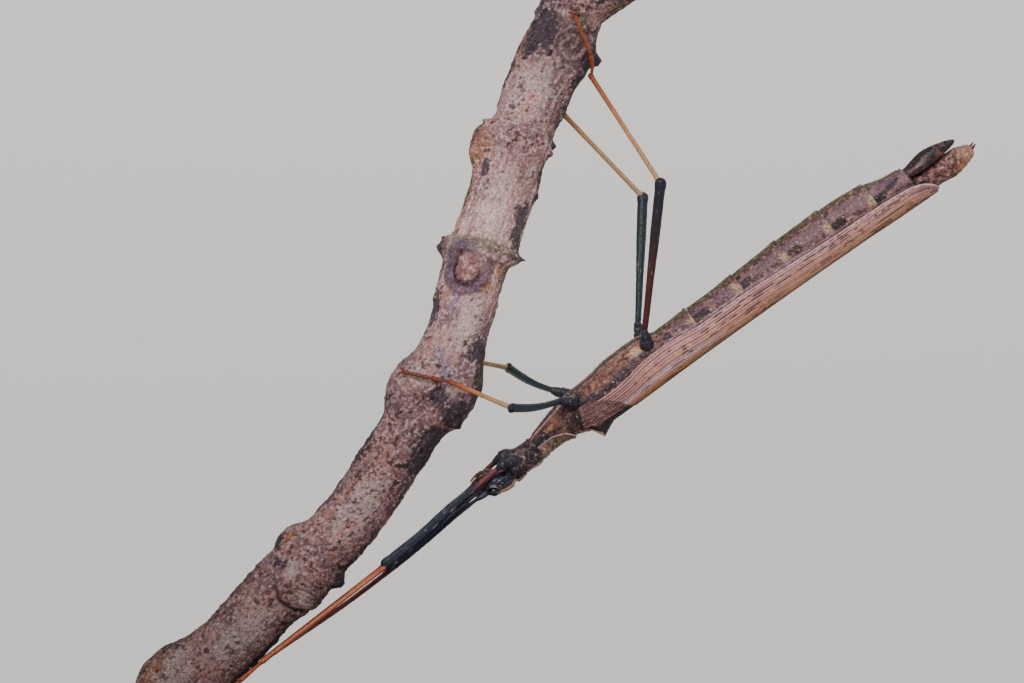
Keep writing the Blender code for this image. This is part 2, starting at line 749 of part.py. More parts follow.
def make_abdomen(insect):
    """Three lengths that part at segment joints, each with a groove at its inner joints."""
    starts = (25.75, ABDOMEN_CUTS[0] + GAP, ABDOMEN_CUTS[1] + GAP)
    ends = (*ABDOMEN_CUTS, SEGMENT_ENDS[-1])
    for label, start, end in zip(("front", "middle", "rear"), starts, ends):
        rings = [start, end]
        for a, b in zip(SEGMENT_ENDS, SEGMENT_ENDS[1:]):
            joints = [a + SEGMENT_GROOVE] + [a + (b - a) * share for share in SEGMENT_SHARES]
            rings += [along for along in joints if start + GAP < along < end - GAP]
        body_part(f"abdomen_{label}", ABDOMEN_RINGS, sorted(rings), "abdomen_chitin", insect, winged=True,
                  flared=True)


def make_tail(insect):
    body_part("operculum", OPERCULUM_RINGS, OPERCULUM_PLACES, "dark_chitin", insect, sides=TAIL_SIDES)
    body_part("anal_segments", ANAL_RINGS, ANAL_PLACES, "brown_chitin", insect, sides=TAIL_SIDES, winged=True)
    for label, side in (("right", 1), ("left", -1)):
        path = [mirrored(point, side) for point in CERCUS_PATH]
        tube(f"cercus_{label}", path, CERCUS_RADII, "brown_chitin", insect, sides=6, round_ends=(False, True))


# Wings


def vein_columns(veins, plain=()):
    """Shares across a wing, three for each vein and one for each plain column, with the height of each."""
    columns = {0.0: 0.0, 1.0: 0.0}
    for share in plain:
        columns[share] = 0.0
    for vein in veins:
        columns[vein - VEIN_FLANK] = 0.0
        columns[vein] = VEIN_HEIGHT
        columns[vein + VEIN_FLANK] = 0.0
    return sorted(columns.items())


def vane(name, side, grid, material, insect):
    """A closed vane from a grid of outer and inner points, split into the same triangles on both faces."""
    rows = len(grid)
    columns = len(grid[0])
    count = rows * columns
    vertices = [mirrored(pair[0], side) for row in grid for pair in row]
    vertices += [mirrored(pair[1], side) for row in grid for pair in row]
    faces = []
    for i in range(rows - 1):
        for j in range(columns - 1):
            a = i * columns + j
            b, c, d = a + 1, a + columns + 1, a + columns
            faces += [(a, b, c), (a, c, d)]
            faces += [(count + a, count + c, count + b), (count + a, count + d, count + c)]
    rim = [i * columns for i in range(rows)]
    rim += [(rows - 1) * columns + j for j in range(1, columns)]
    rim += [i * columns + columns - 1 for i in range(rows - 2, -1, -1)]
    rim += [j for j in range(columns - 2, 0, -1)]
    for a, b in zip(rim, rim[1:] + rim[:1]):
        faces += [(a, b, count + b), (a, count + b, count + a)]
    return new_object(name, vertices, faces, material, insect)


def wing_point(along, degrees, lift):
    angle = math.radians(degrees)
    radius = wing_radius(along, degrees) + lift
    return (along, radius * math.cos(angle), WING_WAIST + radius * math.sin(angle))


def tegmen_rear(degrees):
    return smooth_rows(TEGMEN_REAR, degrees)[0]


def hump(along, degrees):
    """Height of the tegmen's shoulder above the folded wing."""
    reach = HUMP_REACH_FRONT if along < HUMP_ALONG else HUMP_REACH_REAR
    lengthwise = max(0.0, 1.0 - abs(along - HUMP_ALONG) / reach) ** HUMP_SLOPE
    across = math.exp(-(((degrees - HUMP_ANGLE) / HUMP_SPREAD) ** 2))
    return HUMP_HEIGHT * lengthwise * across


def make_tegmen(label, side, insect):
    grid = []
    for i in range(TEGMEN_ROWS + 1):
        row = []
        for share, height in vein_columns(TEGMEN_VEINS, TEGMEN_PLAIN_COLUMNS):
            degrees = TEGMEN_LOW_ANGLE + (WING_TOP_ANGLE - TEGMEN_LOW_ANGLE) * share
            rise = wing_point(TEGMEN_FRONT, degrees, 0.0)[2] - WING_WAIST
            front = TEGMEN_FRONT + PLEURAL_LEAN * rise
            along = front + (tegmen_rear(degrees) - front) * i / TEGMEN_ROWS
            lift = hump(along, degrees)
            ridge = height if 0 < i < TEGMEN_ROWS else 0.0
            outer = wing_point(along, degrees, lift + ridge)
            row.append((outer, wing_point(along, degrees, lift - WING_THICKNESS)))
        grid.append(row)
    return vane(f"tegmen_{label}", side, grid, "tegmen_membrane", insect)


def make_hindwing(label, side, insect):
    root_edge = smooth_rows(WING_EDGE, WING_ROOT)[0]
    grid = []
    for i in range(WING_ROWS + 1):
        row = []
        for share, height in vein_columns(WING_VEINS):
            root = tegmen_rear(root_edge + (WING_TOP_ANGLE - root_edge) * share) + WING_ROOT_GAP
            along = root + (WING_TIP - root) * (i / WING_ROWS) ** WING_ROW_POWER
            edge = smooth_rows(WING_EDGE, along)[0]
            degrees = edge + (WING_TOP_ANGLE - edge) * share
            ridge = height if 0 < i < WING_ROWS else 0.0
            row.append((wing_point(along, degrees, ridge), wing_point(along, degrees, -WING_THICKNESS)))
        grid.append(row)
    return vane(f"hindwing_{label}", side, grid, "wing_membrane", insect)


# Stem


def perch_rows():
    points = [Vector(point) for point in PERCH_AXIS]
    lengths = np.cumsum([0.0] + [(b - a).length for a, b in zip(points, points[1:])])
    return [(length, *point) for length, point in zip(lengths, points)]


PERCH_ROWS = perch_rows()
PERCH_LENGTH = PERCH_ROWS[-1][0]


def perch_centre(along):
    return Vector(smooth_rows(PERCH_ROWS, along))


def perch_axes(along):
    """Directions of the stem here: up its length, towards -Y and to its right."""
    ahead = (perch_centre(min(along + 0.6, PERCH_LENGTH)) - perch_centre(max(along - 0.6, 0.0))).normalized()
    front = Vector((0.0, -1.0, 0.0))
    front = (front - ahead * front.dot(ahead)).normalized()
    return ahead, front, ahead.cross(front)


def perch_radius(along, degrees):
    radius = PERCH_RADIUS
    for middle, angle, height, length, spread in KNOTS:
        turn = abs((degrees - angle + 180.0) % 360.0 - 180.0)
        share = 1.0 if spread >= 180.0 else ease(1.0 - turn / spread)
        radius += height * share * math.exp(-(abs((along - middle) / length) ** KNOT_POWER))
    return radius


def perch_point(along, degrees, lift=0.0):
    """A point on the stem's surface, or lifted off it, in world millimetres."""
    ahead, front, right = perch_axes(along)
    angle = math.radians(degrees)
    reach = perch_radius(along, degrees) + lift
    return perch_centre(along) + (front * math.cos(angle) + right * math.sin(angle)) * reach


def perch_places(start, end):
    """Where the stem's rings stand from start to end."""
    places = [start]
    while end - places[-1] > PERCH_STEP * 1.4:
        fine = any(low < places[-1] < high for low, high in PERCH_FINE)
        places.append(places[-1] + (PERCH_STEP / 2 if fine else PERCH_STEP))
    return places + [end]


def perch_length(name, start, end, grow=0.0):
    """A closed length of the stem, larger all round by grow."""
    rings = []
    for along in perch_places(start, end):
        angles = [360.0 * j / PERCH_SIDES for j in range(PERCH_SIDES)]
        rings.append([perch_point(along, degrees, grow) for degrees in angles])
    vertices, faces = loft(rings)
    return new_object(name, vertices, faces, "bark")


def make_perch():
    cuts = (0.0, *PERCH_CUTS, PERCH_LENGTH)
    for label, start, end in zip(("lower", "middle", "upper"), cuts, cuts[1:]):
        first = start + (GAP / 2 if start > 0 else 0.0)
        last = end - (GAP / 2 if end < PERCH_LENGTH else 0.0)
        perch_length(f"perch_{label}", first, last)
    path = smooth_path(SHOOT_PATH, SHOOT_RINGS)
    radii = spread_values(SHOOT_RADII, SHOOT_RINGS)
    shoot = tube("perch_side_shoot", path, radii, "bark", sides=14, round_ends=(False, False))
    cut_away(shoot, [perch_length("cutter", PERCH_LENGTH - SHOOT_CUTTER, PERCH_LENGTH, GAP)])


# Legs


def leg_coxa(kind, label, side, insect):
    """Hip joint with the trochanter, hollowed where it meets the thorax."""
    leg = LEGS[kind]
    path = smooth_path([mirrored(point, side) for point in leg["coxa"]], COXA_RINGS)
    radii = spread_values(leg["coxa_radii"], COXA_RINGS)
    coxa = tube(f"{kind}_coxa_{label}", path, radii, "dark_chitin", insect, sides=10,
                round_ends=(False, False))
    cut_away(coxa, [thorax_part(name, insect, GAP) for name in leg["neighbours"]])


def leg_knee(kind, label):
    knee = LEGS[kind][f"knee_{label}"]
    return insect_to_world(knee) if kind == "fore" else Vector(knee)


def leg_bones(kind, label, side, insect):
    """Femur, tibia and tarsus with its claws."""
    leg = LEGS[kind]
    hip = insect_to_world(mirrored(leg["femur_start"], side))
    bends = [insect_to_world(point) for point in leg[f"femur_bend_{label}"]]
    knee = leg_knee(kind, label)
    femur_path = smooth_path([hip, *bends, knee], FEMUR_RINGS)
    across = insect_matrix().to_3x3() @ Vector((0.0, 1.0, 0.0))
    tube(f"{kind}_femur_{label}", femur_path, spread_values(leg["femur_radii"], FEMUR_RINGS), "dark_chitin",
         flat=leg["flat"], side_axis=across, round_ends=(False, True))
    ankle = tarsus_point(kind, label, 0.0)
    shin = (ankle - knee).normalized()
    start = knee + shin * (leg["femur_radii"][-1] + GAP)
    end = ankle - shin * leg["tibia_radii"][-1]
    shin_path = smooth_path((start, end), TIBIA_RINGS)
    tube(f"{kind}_tibia_{label}", shin_path, spread_values(leg["tibia_radii"], TIBIA_RINGS), "tibia_chitin",
         side_axis=across, round_ends=(False, False))
    make_tarsus(kind, label)


def tarsus_point(kind, label, share, lift=0.0):
    """A point along the foot, which stands off the stem's surface by its own radius and a gap."""
    leg = LEGS[kind]
    along_a, angle_a = leg[f"ankle_{label}"]
    along_b, angle_b = leg[f"toe_{label}"]
    reach = TARSUS_LIFT + leg["ankle_lift"] * (1.0 - share) ** 2 + lift
    return perch_point(along_a + (along_b - along_a) * share, angle_a + (angle_b - angle_a) * share, reach)


def make_tarsus(kind, label):
    """Five short joints along the stem's surface, then a pair of claws."""
    places = [TARSUS_START]
    radii = [TARSUS_NECK]
    reached = 0.0
    for share in TARSUS_SHARES:
        places += [reached + share * JOINT_MIDDLE, reached + share * JOINT_END]
        radii += [TARSUS_WAIST, TARSUS_RADIUS]
        reached += share
        if share != TARSUS_SHARES[-1]:
            places.append(reached + JOINT_NOTCH)
            radii.append(TARSUS_NECK)
    path = [tarsus_point(kind, label, share) for share in places]
    tarsus = tube(f"{kind}_tarsus_{label}", path, radii, "tarsus_chitin", sides=6, round_ends=(False, True))
    end = path[-1]
    ahead = (path[-1] - path[-3]).normalized()
    away = (tarsus_point(kind, label, 1.0, 1.0) - end).normalized()
    beside = ahead.cross(away)
    claws = []
    for turn in (-1, 1):
        out = ahead * math.cos(CLAW_SPREAD) + beside * math.sin(CLAW_SPREAD) * turn
        bend = end + out * CLAW_LENGTH * CLAW_BEND + away * CLAW_ARCH
        tip = end + out * CLAW_LENGTH - away * CLAW_HOOK
        claws.append(tube("claw", (end, bend, tip), CLAW_RADII, "tarsus_chitin", sides=5))
    fuse(tarsus, claws)


# Display stand


def make_stand():
    work = bmesh.new()
    bmesh.ops.create_cube(work, size=1.0)
    size = Matrix.Diagonal((BASE_LENGTH * MM, BASE_WIDTH * MM, BASE_HEIGHT * MM, 1.0))
    place = Matrix.Translation((0.0, 0.0, BASE_HEIGHT * MM / 2))
    bmesh.ops.transform(work, matrix=place @ size, verts=work.verts)
    edges = [edge for edge in work.edges if max(vertex.co.z for vertex in edge.verts) > BASE_HEIGHT * MM / 2]
    bmesh.ops.bevel(work, geom=edges, offset=BASE_CHAMFER * MM, segments=2, profile=0.5, affect="EDGES")
    mesh = bpy.data.meshes.new("stand_base")
    work.to_mesh(mesh)
    work.free()
    mesh.materials.append(material_named("base_wood"))
    base = bpy.data.objects.new("stand_base", mesh)
    bpy.context.scene.collection.objects.link(base)
    rod_top = perch_centre(ROD_ALONG).z
    rod_path = ((ROD_X, ROD_Y, BASE_HEIGHT + GAP), (ROD_X, ROD_Y, rod_top))
    radii = (ROD_RADIUS, ROD_RADIUS)
    rod = tube("stand_rod", rod_path, radii, "rod_steel", sides=16, round_ends=(False, False))
    cut_away(rod, [perch_length("cutter", 0.0, ROD_CUTTER, GAP)])


def main():
    clear_scene()
    insect = bpy.data.objects.new("insect", None)
    bpy.context.scene.collection.objects.link(insect)
    insect.matrix_world = insect_matrix()
    bpy.context.view_layer.update()
    make_stand()
    make_perch()
    make_head(insect)
    for name in ("prothorax", "mesothorax", "metathorax"):
        thorax_part(name, insect)
    make_abdomen(insect)
    make_tail(insect)
    for label, side in (("right", 1), ("left", -1)):
        make_eye(f"eye_{label}", side, EYE_RADIUS, insect)
        make_antenna(label, side, insect)
        make_tegmen(label, side, insect)
        make_hindwing(label, side, insect)
        for kind in LEGS:
            leg_coxa(kind, label, side, insect)
            leg_bones(kind, label, side, insect)


main()
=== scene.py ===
"""Looks of the winged stick insect on its cut stem and display stand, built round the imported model.

Sizes are in millimetres and MM turns them into metres. The world has +Z up, and the insect's right side
faces -Y. The insect has a frame of its own: X runs from the front of its head to its tail, Y to its right
side and Z to its back. A place on its body is given by its distance along X and an angle round the body: 0 is
the right side, 90 is the back and -90 is the belly. The stem has an angle too: 0 faces -Y, and 90 faces right
and down.
"""

import itertools
import math

import bpy
import numpy as np
from mathutils import Matrix, Vector


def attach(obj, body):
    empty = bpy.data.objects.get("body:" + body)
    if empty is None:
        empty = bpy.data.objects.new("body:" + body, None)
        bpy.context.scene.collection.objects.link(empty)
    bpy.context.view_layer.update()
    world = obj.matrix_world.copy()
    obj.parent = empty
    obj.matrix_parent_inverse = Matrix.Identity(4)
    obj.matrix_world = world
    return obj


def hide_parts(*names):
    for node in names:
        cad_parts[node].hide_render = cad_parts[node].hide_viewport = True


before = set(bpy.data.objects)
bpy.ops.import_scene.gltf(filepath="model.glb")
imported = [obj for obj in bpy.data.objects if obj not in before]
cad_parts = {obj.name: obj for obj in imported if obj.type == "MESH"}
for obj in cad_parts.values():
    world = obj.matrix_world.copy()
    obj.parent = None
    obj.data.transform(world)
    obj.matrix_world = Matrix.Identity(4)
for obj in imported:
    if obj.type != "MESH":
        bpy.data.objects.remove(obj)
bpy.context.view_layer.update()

MM = 0.001

# Place of the insect: the front of its head, the rise of its body towards the tail, and its roll
HEAD_FRONT = (1.2, 0, 45)
BODY_RISE = math.radians(35.4)
BODY_ROLL = math.radians(17)

# Each side of the body, and the sign of its Y in the insect's frame
SIDES = (("right", 1), ("left", -1))

# Body rings, from head to tail: along, belly, waist, back, half width
TRUNK_RINGS = (
    (0.2, 0.12, 0.3, 0.48, 0.16), (0.35, -0.25, 0.3, 0.75, 0.42), (0.8, -0.6, 0.35, 1.25, 0.82),
    (1.5, -0.7, 0.45, 1.65, 1.15), (2.3, -0.6, 0.6, 1.95, 1.35), (3, -0.25, 0.75, 2.08, 1.3),
    (3.5, -0.1, 0.85, 2.02, 1.16), (3.75, -0.25, 0.8, 1.88, 1.04), (3.92, -0.48, 0.68, 1.78, 1),
    (4.08, -0.75, 0.55, 1.8, 1.06), (4.5, -1.15, 0.4, 1.92, 1.25), (5.4, -1.35, 0.2, 1.7, 1.35),
    (6.2, -1.25, 0.15, 1.62, 1.32), (7, -1.22, 0.15, 1.7, 1.34), (7.72, -1.25, 0.1, 1.62, 1.24),
    (7.92, -1.2, 0.08, 1.54, 1.17), (8.12, -1.3, 0.05, 1.58, 1.22), (9, -1.6, -0.05, 1.34, 1.32),
    (10.2, -1.95, -0.15, 1.3, 1.48), (11.6, -2.4, -0.3, 1.4, 1.72), (13.08, -2.8, -0.45, 1.7, 1.98),
    (13.28, -2.7, -0.45, 1.72, 1.9), (13.48, -2.82, -0.45, 1.8, 2), (15.3, -2.86, -0.45, 2.3, 2.15),
    (17.2, -3.02, -0.45, 2.3, 2.3), (19.6, -3.42, -0.45, 2.3, 2.48), (22.7, -3.46, -0.45, 2.25, 2.52),
    (24.4, -3.2, -0.45, 2.2, 2.4), (25.6, -2.86, -0.45, 2.2, 2.32), (28, -2.86, -0.45, 2.2, 2.38),
    (33, -2.88, -0.45, 2.15, 2.42), (39, -3.14, -0.45, 2.15, 2.48), (44, -3.3, -0.45, 2.2, 2.48),
    (49, -3.2, -0.45, 2.2, 2.35), (52.5, -2.8, -0.45, 2.3, 2.15), (55, -2.1, -0.35, 2.35, 1.9),
    (57.25, -1.62, -0.2, 2.4, 1.64), (57.5, -1.1, 0.15, 2.34, 1.56), (57.8, -0.46, 0.3, 2.32, 1.58),
    (58.6, -0.32, 0.4, 2.32, 1.6), (60.2, -0.24, 0.55, 2.17, 1.54), (61.9, -0.22, 0.75, 2.4, 1.47),
    (63.2, -0.18, 0.8, 2.16, 1.3), (64.1, 0.06, 0.88, 1.92, 1.07), (64.75, 0.36, 0.98, 1.64, 0.8),
    (64.92, 0.62, 0.99, 1.36, 0.5), (64.98, 0.86, 1, 1.14, 0.2),
)
RING_POWER = 2.2
WING_WAIST = -0.45
# Stretches of the trunk and the distance between rings in each
TRUNK_STRETCHES = (
    (0.2, 0.6, 0.025), (0.6, 8.4, 0.045), (8.4, 26, 0.062), (26, 57, 0.08), (57, 64.6, 0.065),
    (64.6, 64.98, 0.025),
)
TRUNK_SIDES = 200

SEGMENT_ENDS = (25.6, 29.6, 35.8, 41.8, 47.4, 52.9, 57.3)
SEGMENT_FLARE = 0.17
PLEURAL_LEAN = -0.38
MESO_LEAN_START = 10.5
MESO_LEAN_LENGTH = 2.6
META_LEAN_START = 13.45
META_LEAN_LENGTH = 3.5

# Outer surface of the closed wings: along, back, half width
WING_RINGS = (
    (12.5, 1.52, 1.95), (13.7, 1.78, 2.12), (14.6, 2.2, 2.32), (16.5, 2.4, 2.6), (20, 2.35, 2.78),
    (28, 2.2, 2.74), (38, 2.16, 2.76), (49, 2.26, 2.66), (54, 2.42, 2.5), (57, 2.5, 2.32), (60.5, 2.56, 2.1),
)
WING_THICKNESS = 0.17
WING_RIM_THICKNESS = 0.06
WING_CLEARANCE = 0.05
WING_TOP_ANGLE = 88.6
WING_ROOT = 18
WING_TUCK = 0.9
WING_TUCK_DEPTH = 0.26
WING_TIP = 59.6
WING_LENGTHS = 480
WING_COLUMNS = 92
# Angle of the wing's lower edge: along, angle
WING_EDGE = (
    (12, -30), (15, -24), (16.6, -14), (18, -14), (20, -18), (22.3, -27), (25, -31), (27.4, -27), (30, -21),
    (35, -21), (40, -16), (46, -9), (53, -3), (55.7, 3), (57.4, 12), (58.4, 25), (59.2, 44), (59.6, 62),
)
WING_VEINS = (0.035, 0.09, 0.145, 0.2, 0.26, 0.32, 0.385, 0.45, 0.515, 0.58, 0.645, 0.71, 0.775, 0.84, 0.92)
# Which of them, counted from the lower edge, are the main ones
MAIN_VEINS = (2, 4, 6, 8, 10, 12, 14)
VEIN_HEIGHT = 0.11
VEIN_HALF_WIDTH = 0.055
CROSS_SPACING = 0.34
# How often a vein bears a black dash: share of the width, crowd
DASH_CROWDS = ((0, 0.1), (0.1, 0.35), (0.15, 0.55), (0.2, 0.6), (0.3, 0.25), (0.45, 0.6), (0.52, 0.35),
               (0.6, 0.55), (0.7, 0.85), (0.85, 0.7), (1, 0.6))

# Rear edge of the tegmen: angle, along
TEGMEN_REAR = ((-30, 14.75), (-20, 15.5), (-11, 16.4), (4, 17.4), (32, 18.4), (66, 19.2), (86, 19.35))
TEGMEN_VEINS = (0.14, 0.24, 0.34, 0.45, 0.56)
TEGMEN_FRONT = 13.35
TEGMEN_LOW_ANGLE = -30
TEGMEN_LENGTHS = 120
TEGMEN_COLUMNS = 170
HUMP_ALONG = 14.6
HUMP_ANGLE = 64
HUMP_HEIGHT = 1.15
HUMP_REACH_FRONT = 0.9
HUMP_REACH_REAR = 1.9
HUMP_SPREAD = 19
HUMP_SLOPE = 1.2

# Head details
EYE_PLACE = (1.42, 1.1, 0.94)
EYE_RADIUS = 0.52
SOCKET_RADIUS = 0.56
# The way in which the right eye's socket opens
SOCKET_AXIS = (0, 0.88, 0.47)
JAW_PATH = ((2.55, 0, -0.45), (1.7, 0, -0.78), (0.85, 0, -0.72), (0.45, 0, -0.35))
JAW_RADII = (0.42, 0.58, 0.55, 0.35)
LABRUM_PATH = ((0.75, 0, 0.2), (0.22, 0, -0.1), (0.1, 0, -0.5))
LABRUM_RADII = (0.42, 0.36, 0.22)
PALP_PATHS = (
    ((1.35, 0.38, -1), (0.6, 0.46, -1.2), (-0.1, 0.4, -1.02)),
    ((1.95, 0.2, -1.1), (1.35, 0.22, -1.36), (0.7, 0.2, -1.38)),
)
PALP_RADII = (0.13, 0.11, 0.12, 0.1, 0.07)
SCAPE_PATH = ((1, 0.62, 0.72), (0.3, 0.74, 0.72), (-0.45, 0.78, 0.66))
SCAPE_RADII = (0.3, 0.35, 0.33, 0.25)
ANTENNA_PATH = (
    (-0.45, 0.78, 0.66), (-0.98, 0.76, 0.66), (-2, 0.62, 0.78), (-3.6, 0.42, 0.95), (-7.5, 0.33, 1.4),
    (-12.2, 0.33, 1.74), (-19.4, 0.33, 1.95), (-28.9, 0.33, 1.8), (-33.2, 0.33, 2.15), (-36.6, 0.36, 3.1),
    (-39.6, 0.38, 4.3),
)
ANTENNA_RADII = (0.2, 0.2, 0.19, 0.18, 0.165, 0.15, 0.14, 0.13, 0.12, 0.1, 0.06)
ANTENNA_JOINTS = 27
OPERCULUM_RINGS = (
    (56.9, -1.5, -1, -0.6, 1.05), (57.65, -1.52, -0.97, -0.4, 1.18), (58.6, -1.77, -0.84, -0.26, 1.24),
    (60.1, -2.06, -0.78, -0.22, 1.14), (61.2, -1.94, -0.77, -0.34, 0.94), (62.4, -1.64, -0.77, -0.52, 0.66),
    (63.3, -1.32, -0.82, -0.64, 0.42), (63.75, -1.08, -0.9, -0.78, 0.2), (63.85, -1, -0.92, -0.86, 0.06),
)
CERCUS_PATH = ((64.1, 0.4, 1.02), (64.8, 0.44, 0.9), (65.15, 0.46, 0.78), (65.45, 0.42, 0.66))
CERCUS_RADII = (0.2, 0.19, 0.16, 0.07)

# Legs, as in the solids. Coxa and start of the femur are given for the right side. The fore knees are in the
# insect's frame, and the other knees in the world. Ankle and toe: place along the stem, angle round it.
LEGS = {
    "fore": {
        "coxa": ((5.45, 0.55, -0.45), (4.75, 1.1, -0.85), (3.55, 1.18, -0.98)),
        "coxa_radii": (0.62, 0.74, 0.66, 0.34),
        "femur_start": (3.3, 1.18, -0.96),
        "femur_bend_right": (
            (1.9, 1.34, -0.9), (0.45, 1.36, -0.72), (-1.5, 1.18, -0.42), (-3.6, 1.02, -0.12),
            (-7.5, 0.9, 0.46),
        ),
        "femur_bend_left": (
            (2.2, -1.42, -0.74), (1, -1.48, -0.42), (-0.6, -1.38, 0.02), (-3.6, -1.05, 0.3),
            (-7.5, -0.9, 0.88),
        ),
        "femur_radii": (0.27, 0.3, 0.36, 0.48, 0.56, 0.6, 0.62, 0.6),
        "flat": 0.5,
        "knee_right": (-12.6, 0.8, 0.84),
        "knee_left": (-12.6, -0.8, 1.18),
        "ankle_lift": 0.4,
        "tibia_radii": (0.27, 0.25, 0.26, 0.28),
        "ankle_right": (18.6, 62),
        "toe_right": (10.2, 64),
        "ankle_left": (18.2, 118),
        "toe_left": (9.8, 116),
    },
    "mid": {
        "coxa": ((14.1, 0.9, -1.75), (13.9, 1.6, -2.35), (13.2, 2.05, -3.1)),
        "coxa_radii": (0.74, 0.73, 0.6, 0.42),
        "femur_start": (12.95, 2.15, -3.42),
        "sag": 0.3,
        "femur_radii": (0.32, 0.36, 0.44, 0.48),
        "flat": 0.85,
        "knee_right": (5, -10, 54),
        "knee_left": (4.6, 9, 58.1),
        "ankle_lift": 0,
        "tibia_radii": (0.3, 0.25, 0.25, 0.27),
        "ankle_right": (54, 19),
        "toe_right": (52.8, -49),
        "ankle_left": (56.6, 160),
        "toe_left": (55.2, 226),
    },
    "hind": {
        "coxa": ((23.7, 0.9, -1.9), (24, 1.5, -2.85), (24.35, 1.72, -3.7)),
        "coxa_radii": (0.9, 0.84, 0.66, 0.45),
        "femur_start": (24.48, 1.74, -4.05),
        "femur_radii": (0.3, 0.38, 0.52, 0.56),
        "flat": 0.8,
        "knee_right": (20.8, -6.3, 77.8),
        "knee_left": (19.3, 5.2, 76.8),
        "ankle_lift": 0.3,
        "tibia_radii": (0.28, 0.25, 0.25, 0.27),
        "ankle_right": (90.3, 80),
        "toe_right": (95.3, 10),
        "ankle_left": (85.3, 119),
        "toe_left": (91.2, 160),
    },
}
TARSUS_SHARES = (0.42, 0.17, 0.13, 0.1, 0.18)
TARSUS_LIFT = 0.62
CLAW_LENGTH = 0.75
CLAW_RADII = (0.11, 0.1, 0.07, 0.025)
CLAW_SPREAD = math.radians(38)

# Stem: its axis in the world, from the lower cut to the upper one, and its plain radius
PERCH_AXIS = (
    (-37.3, 0.8, 16.1), (-31, 0.6, 23), (-24.9, 0.3, 29.2), (-18.8, 0, 35.3), (-12.8, 0, 41.4),
    (-7.9, 0, 48.5), (-3.5, 0, 55.8), (-0.2, 0, 63.8), (2, 0, 72.2), (5, 0, 80.4), (7.9, 0.2, 88.5),
    (11.2, 0.4, 96.4), (13.2, 0.5, 102),
)
PERCH_RADIUS = 3.3
STEM_SIDES = 200
STEM_STEP = 0.12
# Swellings of the stem: along, angle of the middle, height, half length, half spread (180 goes all round)
KNOTS = (
    (10, -90, 1.55, 3.6, 75), (5.5, 90, 0.4, 4, 80), (18, 90, 0.35, 4, 75), (24.5, -90, 0.35, 5, 85),
    (27, 60, 0.65, 2.8, 100), (29.9, -88, 0.95, 1.9, 60), (30.2, 90, 0.75, 0.9, 35), (28.4, 5, 0.55, 2.6, 60),
    (53.6, 92, 1, 3.6, 85), (51.4, -90, 1, 3, 85), (52.6, 0, 0.4, 3.6, 180), (68.2, 0, 0.62, 0.9, 180),
    (67.4, -90, 0.5, 1.1, 50), (66.6, -8, 0.5, 2, 50), (64, -90, 0.35, 3.2, 70), (79, -90, 1.35, 2.6, 70),
    (80.8, 0, 0.3, 1.2, 180), (88.5, -90, 0.35, 4.5, 70), (91.2, 60, 0.75, 2.8, 80), (92.2, 92, 0.5, 0.9, 30),
)
KNOT_POWER = 3
SHOOT_PATH = ((10.6, 0.4, 95.2), (13.8, 0.45, 97.7), (17, 0.5, 99.7), (21.5, 0.6, 102.2))
SHOOT_RADII = (2.5, 2.4, 2.3, 2.2)
SHOOT_RINGS = 130
SHOOT_SIDES = 150
# The shoot's length, and the place up the stem from which its bark is painted
SHOOT_LENGTH = 13
SHOOT_BARK_START = 33

# Display stand
BASE_LENGTH = 112
BASE_WIDTH = 60
BASE_HEIGHT = 8
BASE_CORNER = 2.5
ROD_RADIUS = 1.6
ROD_X = -31.5
ROD_Y = 0.5
# Where the rod meets the stem, up the stem's length, and how far it reaches into the stem
ROD_ALONG = 8.0
ROD_SINK = 1.2
# Collar at the rod's foot: radius, height
ROD_FOOT = ((2.9, 8.02), (3.1, 8.2), (3.1, 8.9), (2.9, 9.1), (2.3, 9.2), (2.1, 9.4), (2, 9.9), (1.62, 10.1))

# Camera: its place, and the width that its frame takes in at the insect's distance
CAMERA_PLACE = (5, -410, 61)
FRAME_WIDTH = 110.59
SENSOR = 36

# How colours are deepened for the studio's light
SATURATION = 1.1
DEPTH = 0.66
TONE = (1, 0.97, 1.1)


def srgb(colour):
    """A colour given by its screen values from 0 to 255, as linear light, deepened for the studio's light."""
    screen = np.array(colour) / 255
    linear = np.where(screen <= 0.04045, screen / 12.92, ((screen + 0.055) / 1.055) ** 2.4)
    grey = linear.mean()
    return np.maximum(grey + (linear - grey) * SATURATION, 0) * DEPTH * np.array(TONE)


# Colours of the insect, as screen values
BLUE_BLACK = (24, 32, 50)
BLACK = (20, 18, 24)
DARK_BROWN = (66, 44, 40)
BROWN = (124, 84, 68)
ORANGE = (222, 146, 84)
CREAM = (232, 208, 168)
PALE_PINK = (228, 184, 172)
PINK_WHITE = (236, 208, 204)
MAUVE = (152, 112, 116)
RED_BROWN = (128, 66, 56)
OLIVE = (104, 90, 66)
SLATE = (72, 74, 92)
WHITE_DOT = (236, 240, 238)
GREEN_BLACK = (34, 50, 54)
STRAW = (212, 176, 128)
TIBIA_ORANGE = (186, 106, 74)
FLAGELLUM_RED = (96, 36, 38)

# Colours of the stem, as screen values
BARK_PINK = (200, 158, 148)
BARK_PALE = (224, 200, 186)
BARK_MAUVE = (150, 118, 120)
BARK_RED = (172, 118, 106)
BARK_SALMON = (212, 152, 142)
BARK_DARK = (76, 68, 78)
BARK_SPECK = (58, 44, 46)
BARK_ORANGE = (184, 124, 84)
LICHEN = (116, 114, 82)
LILAC = (150, 132, 150)
WOOD_PALE = (222, 196, 150)
WOOD_DARK = (140, 104, 66)


# Curves


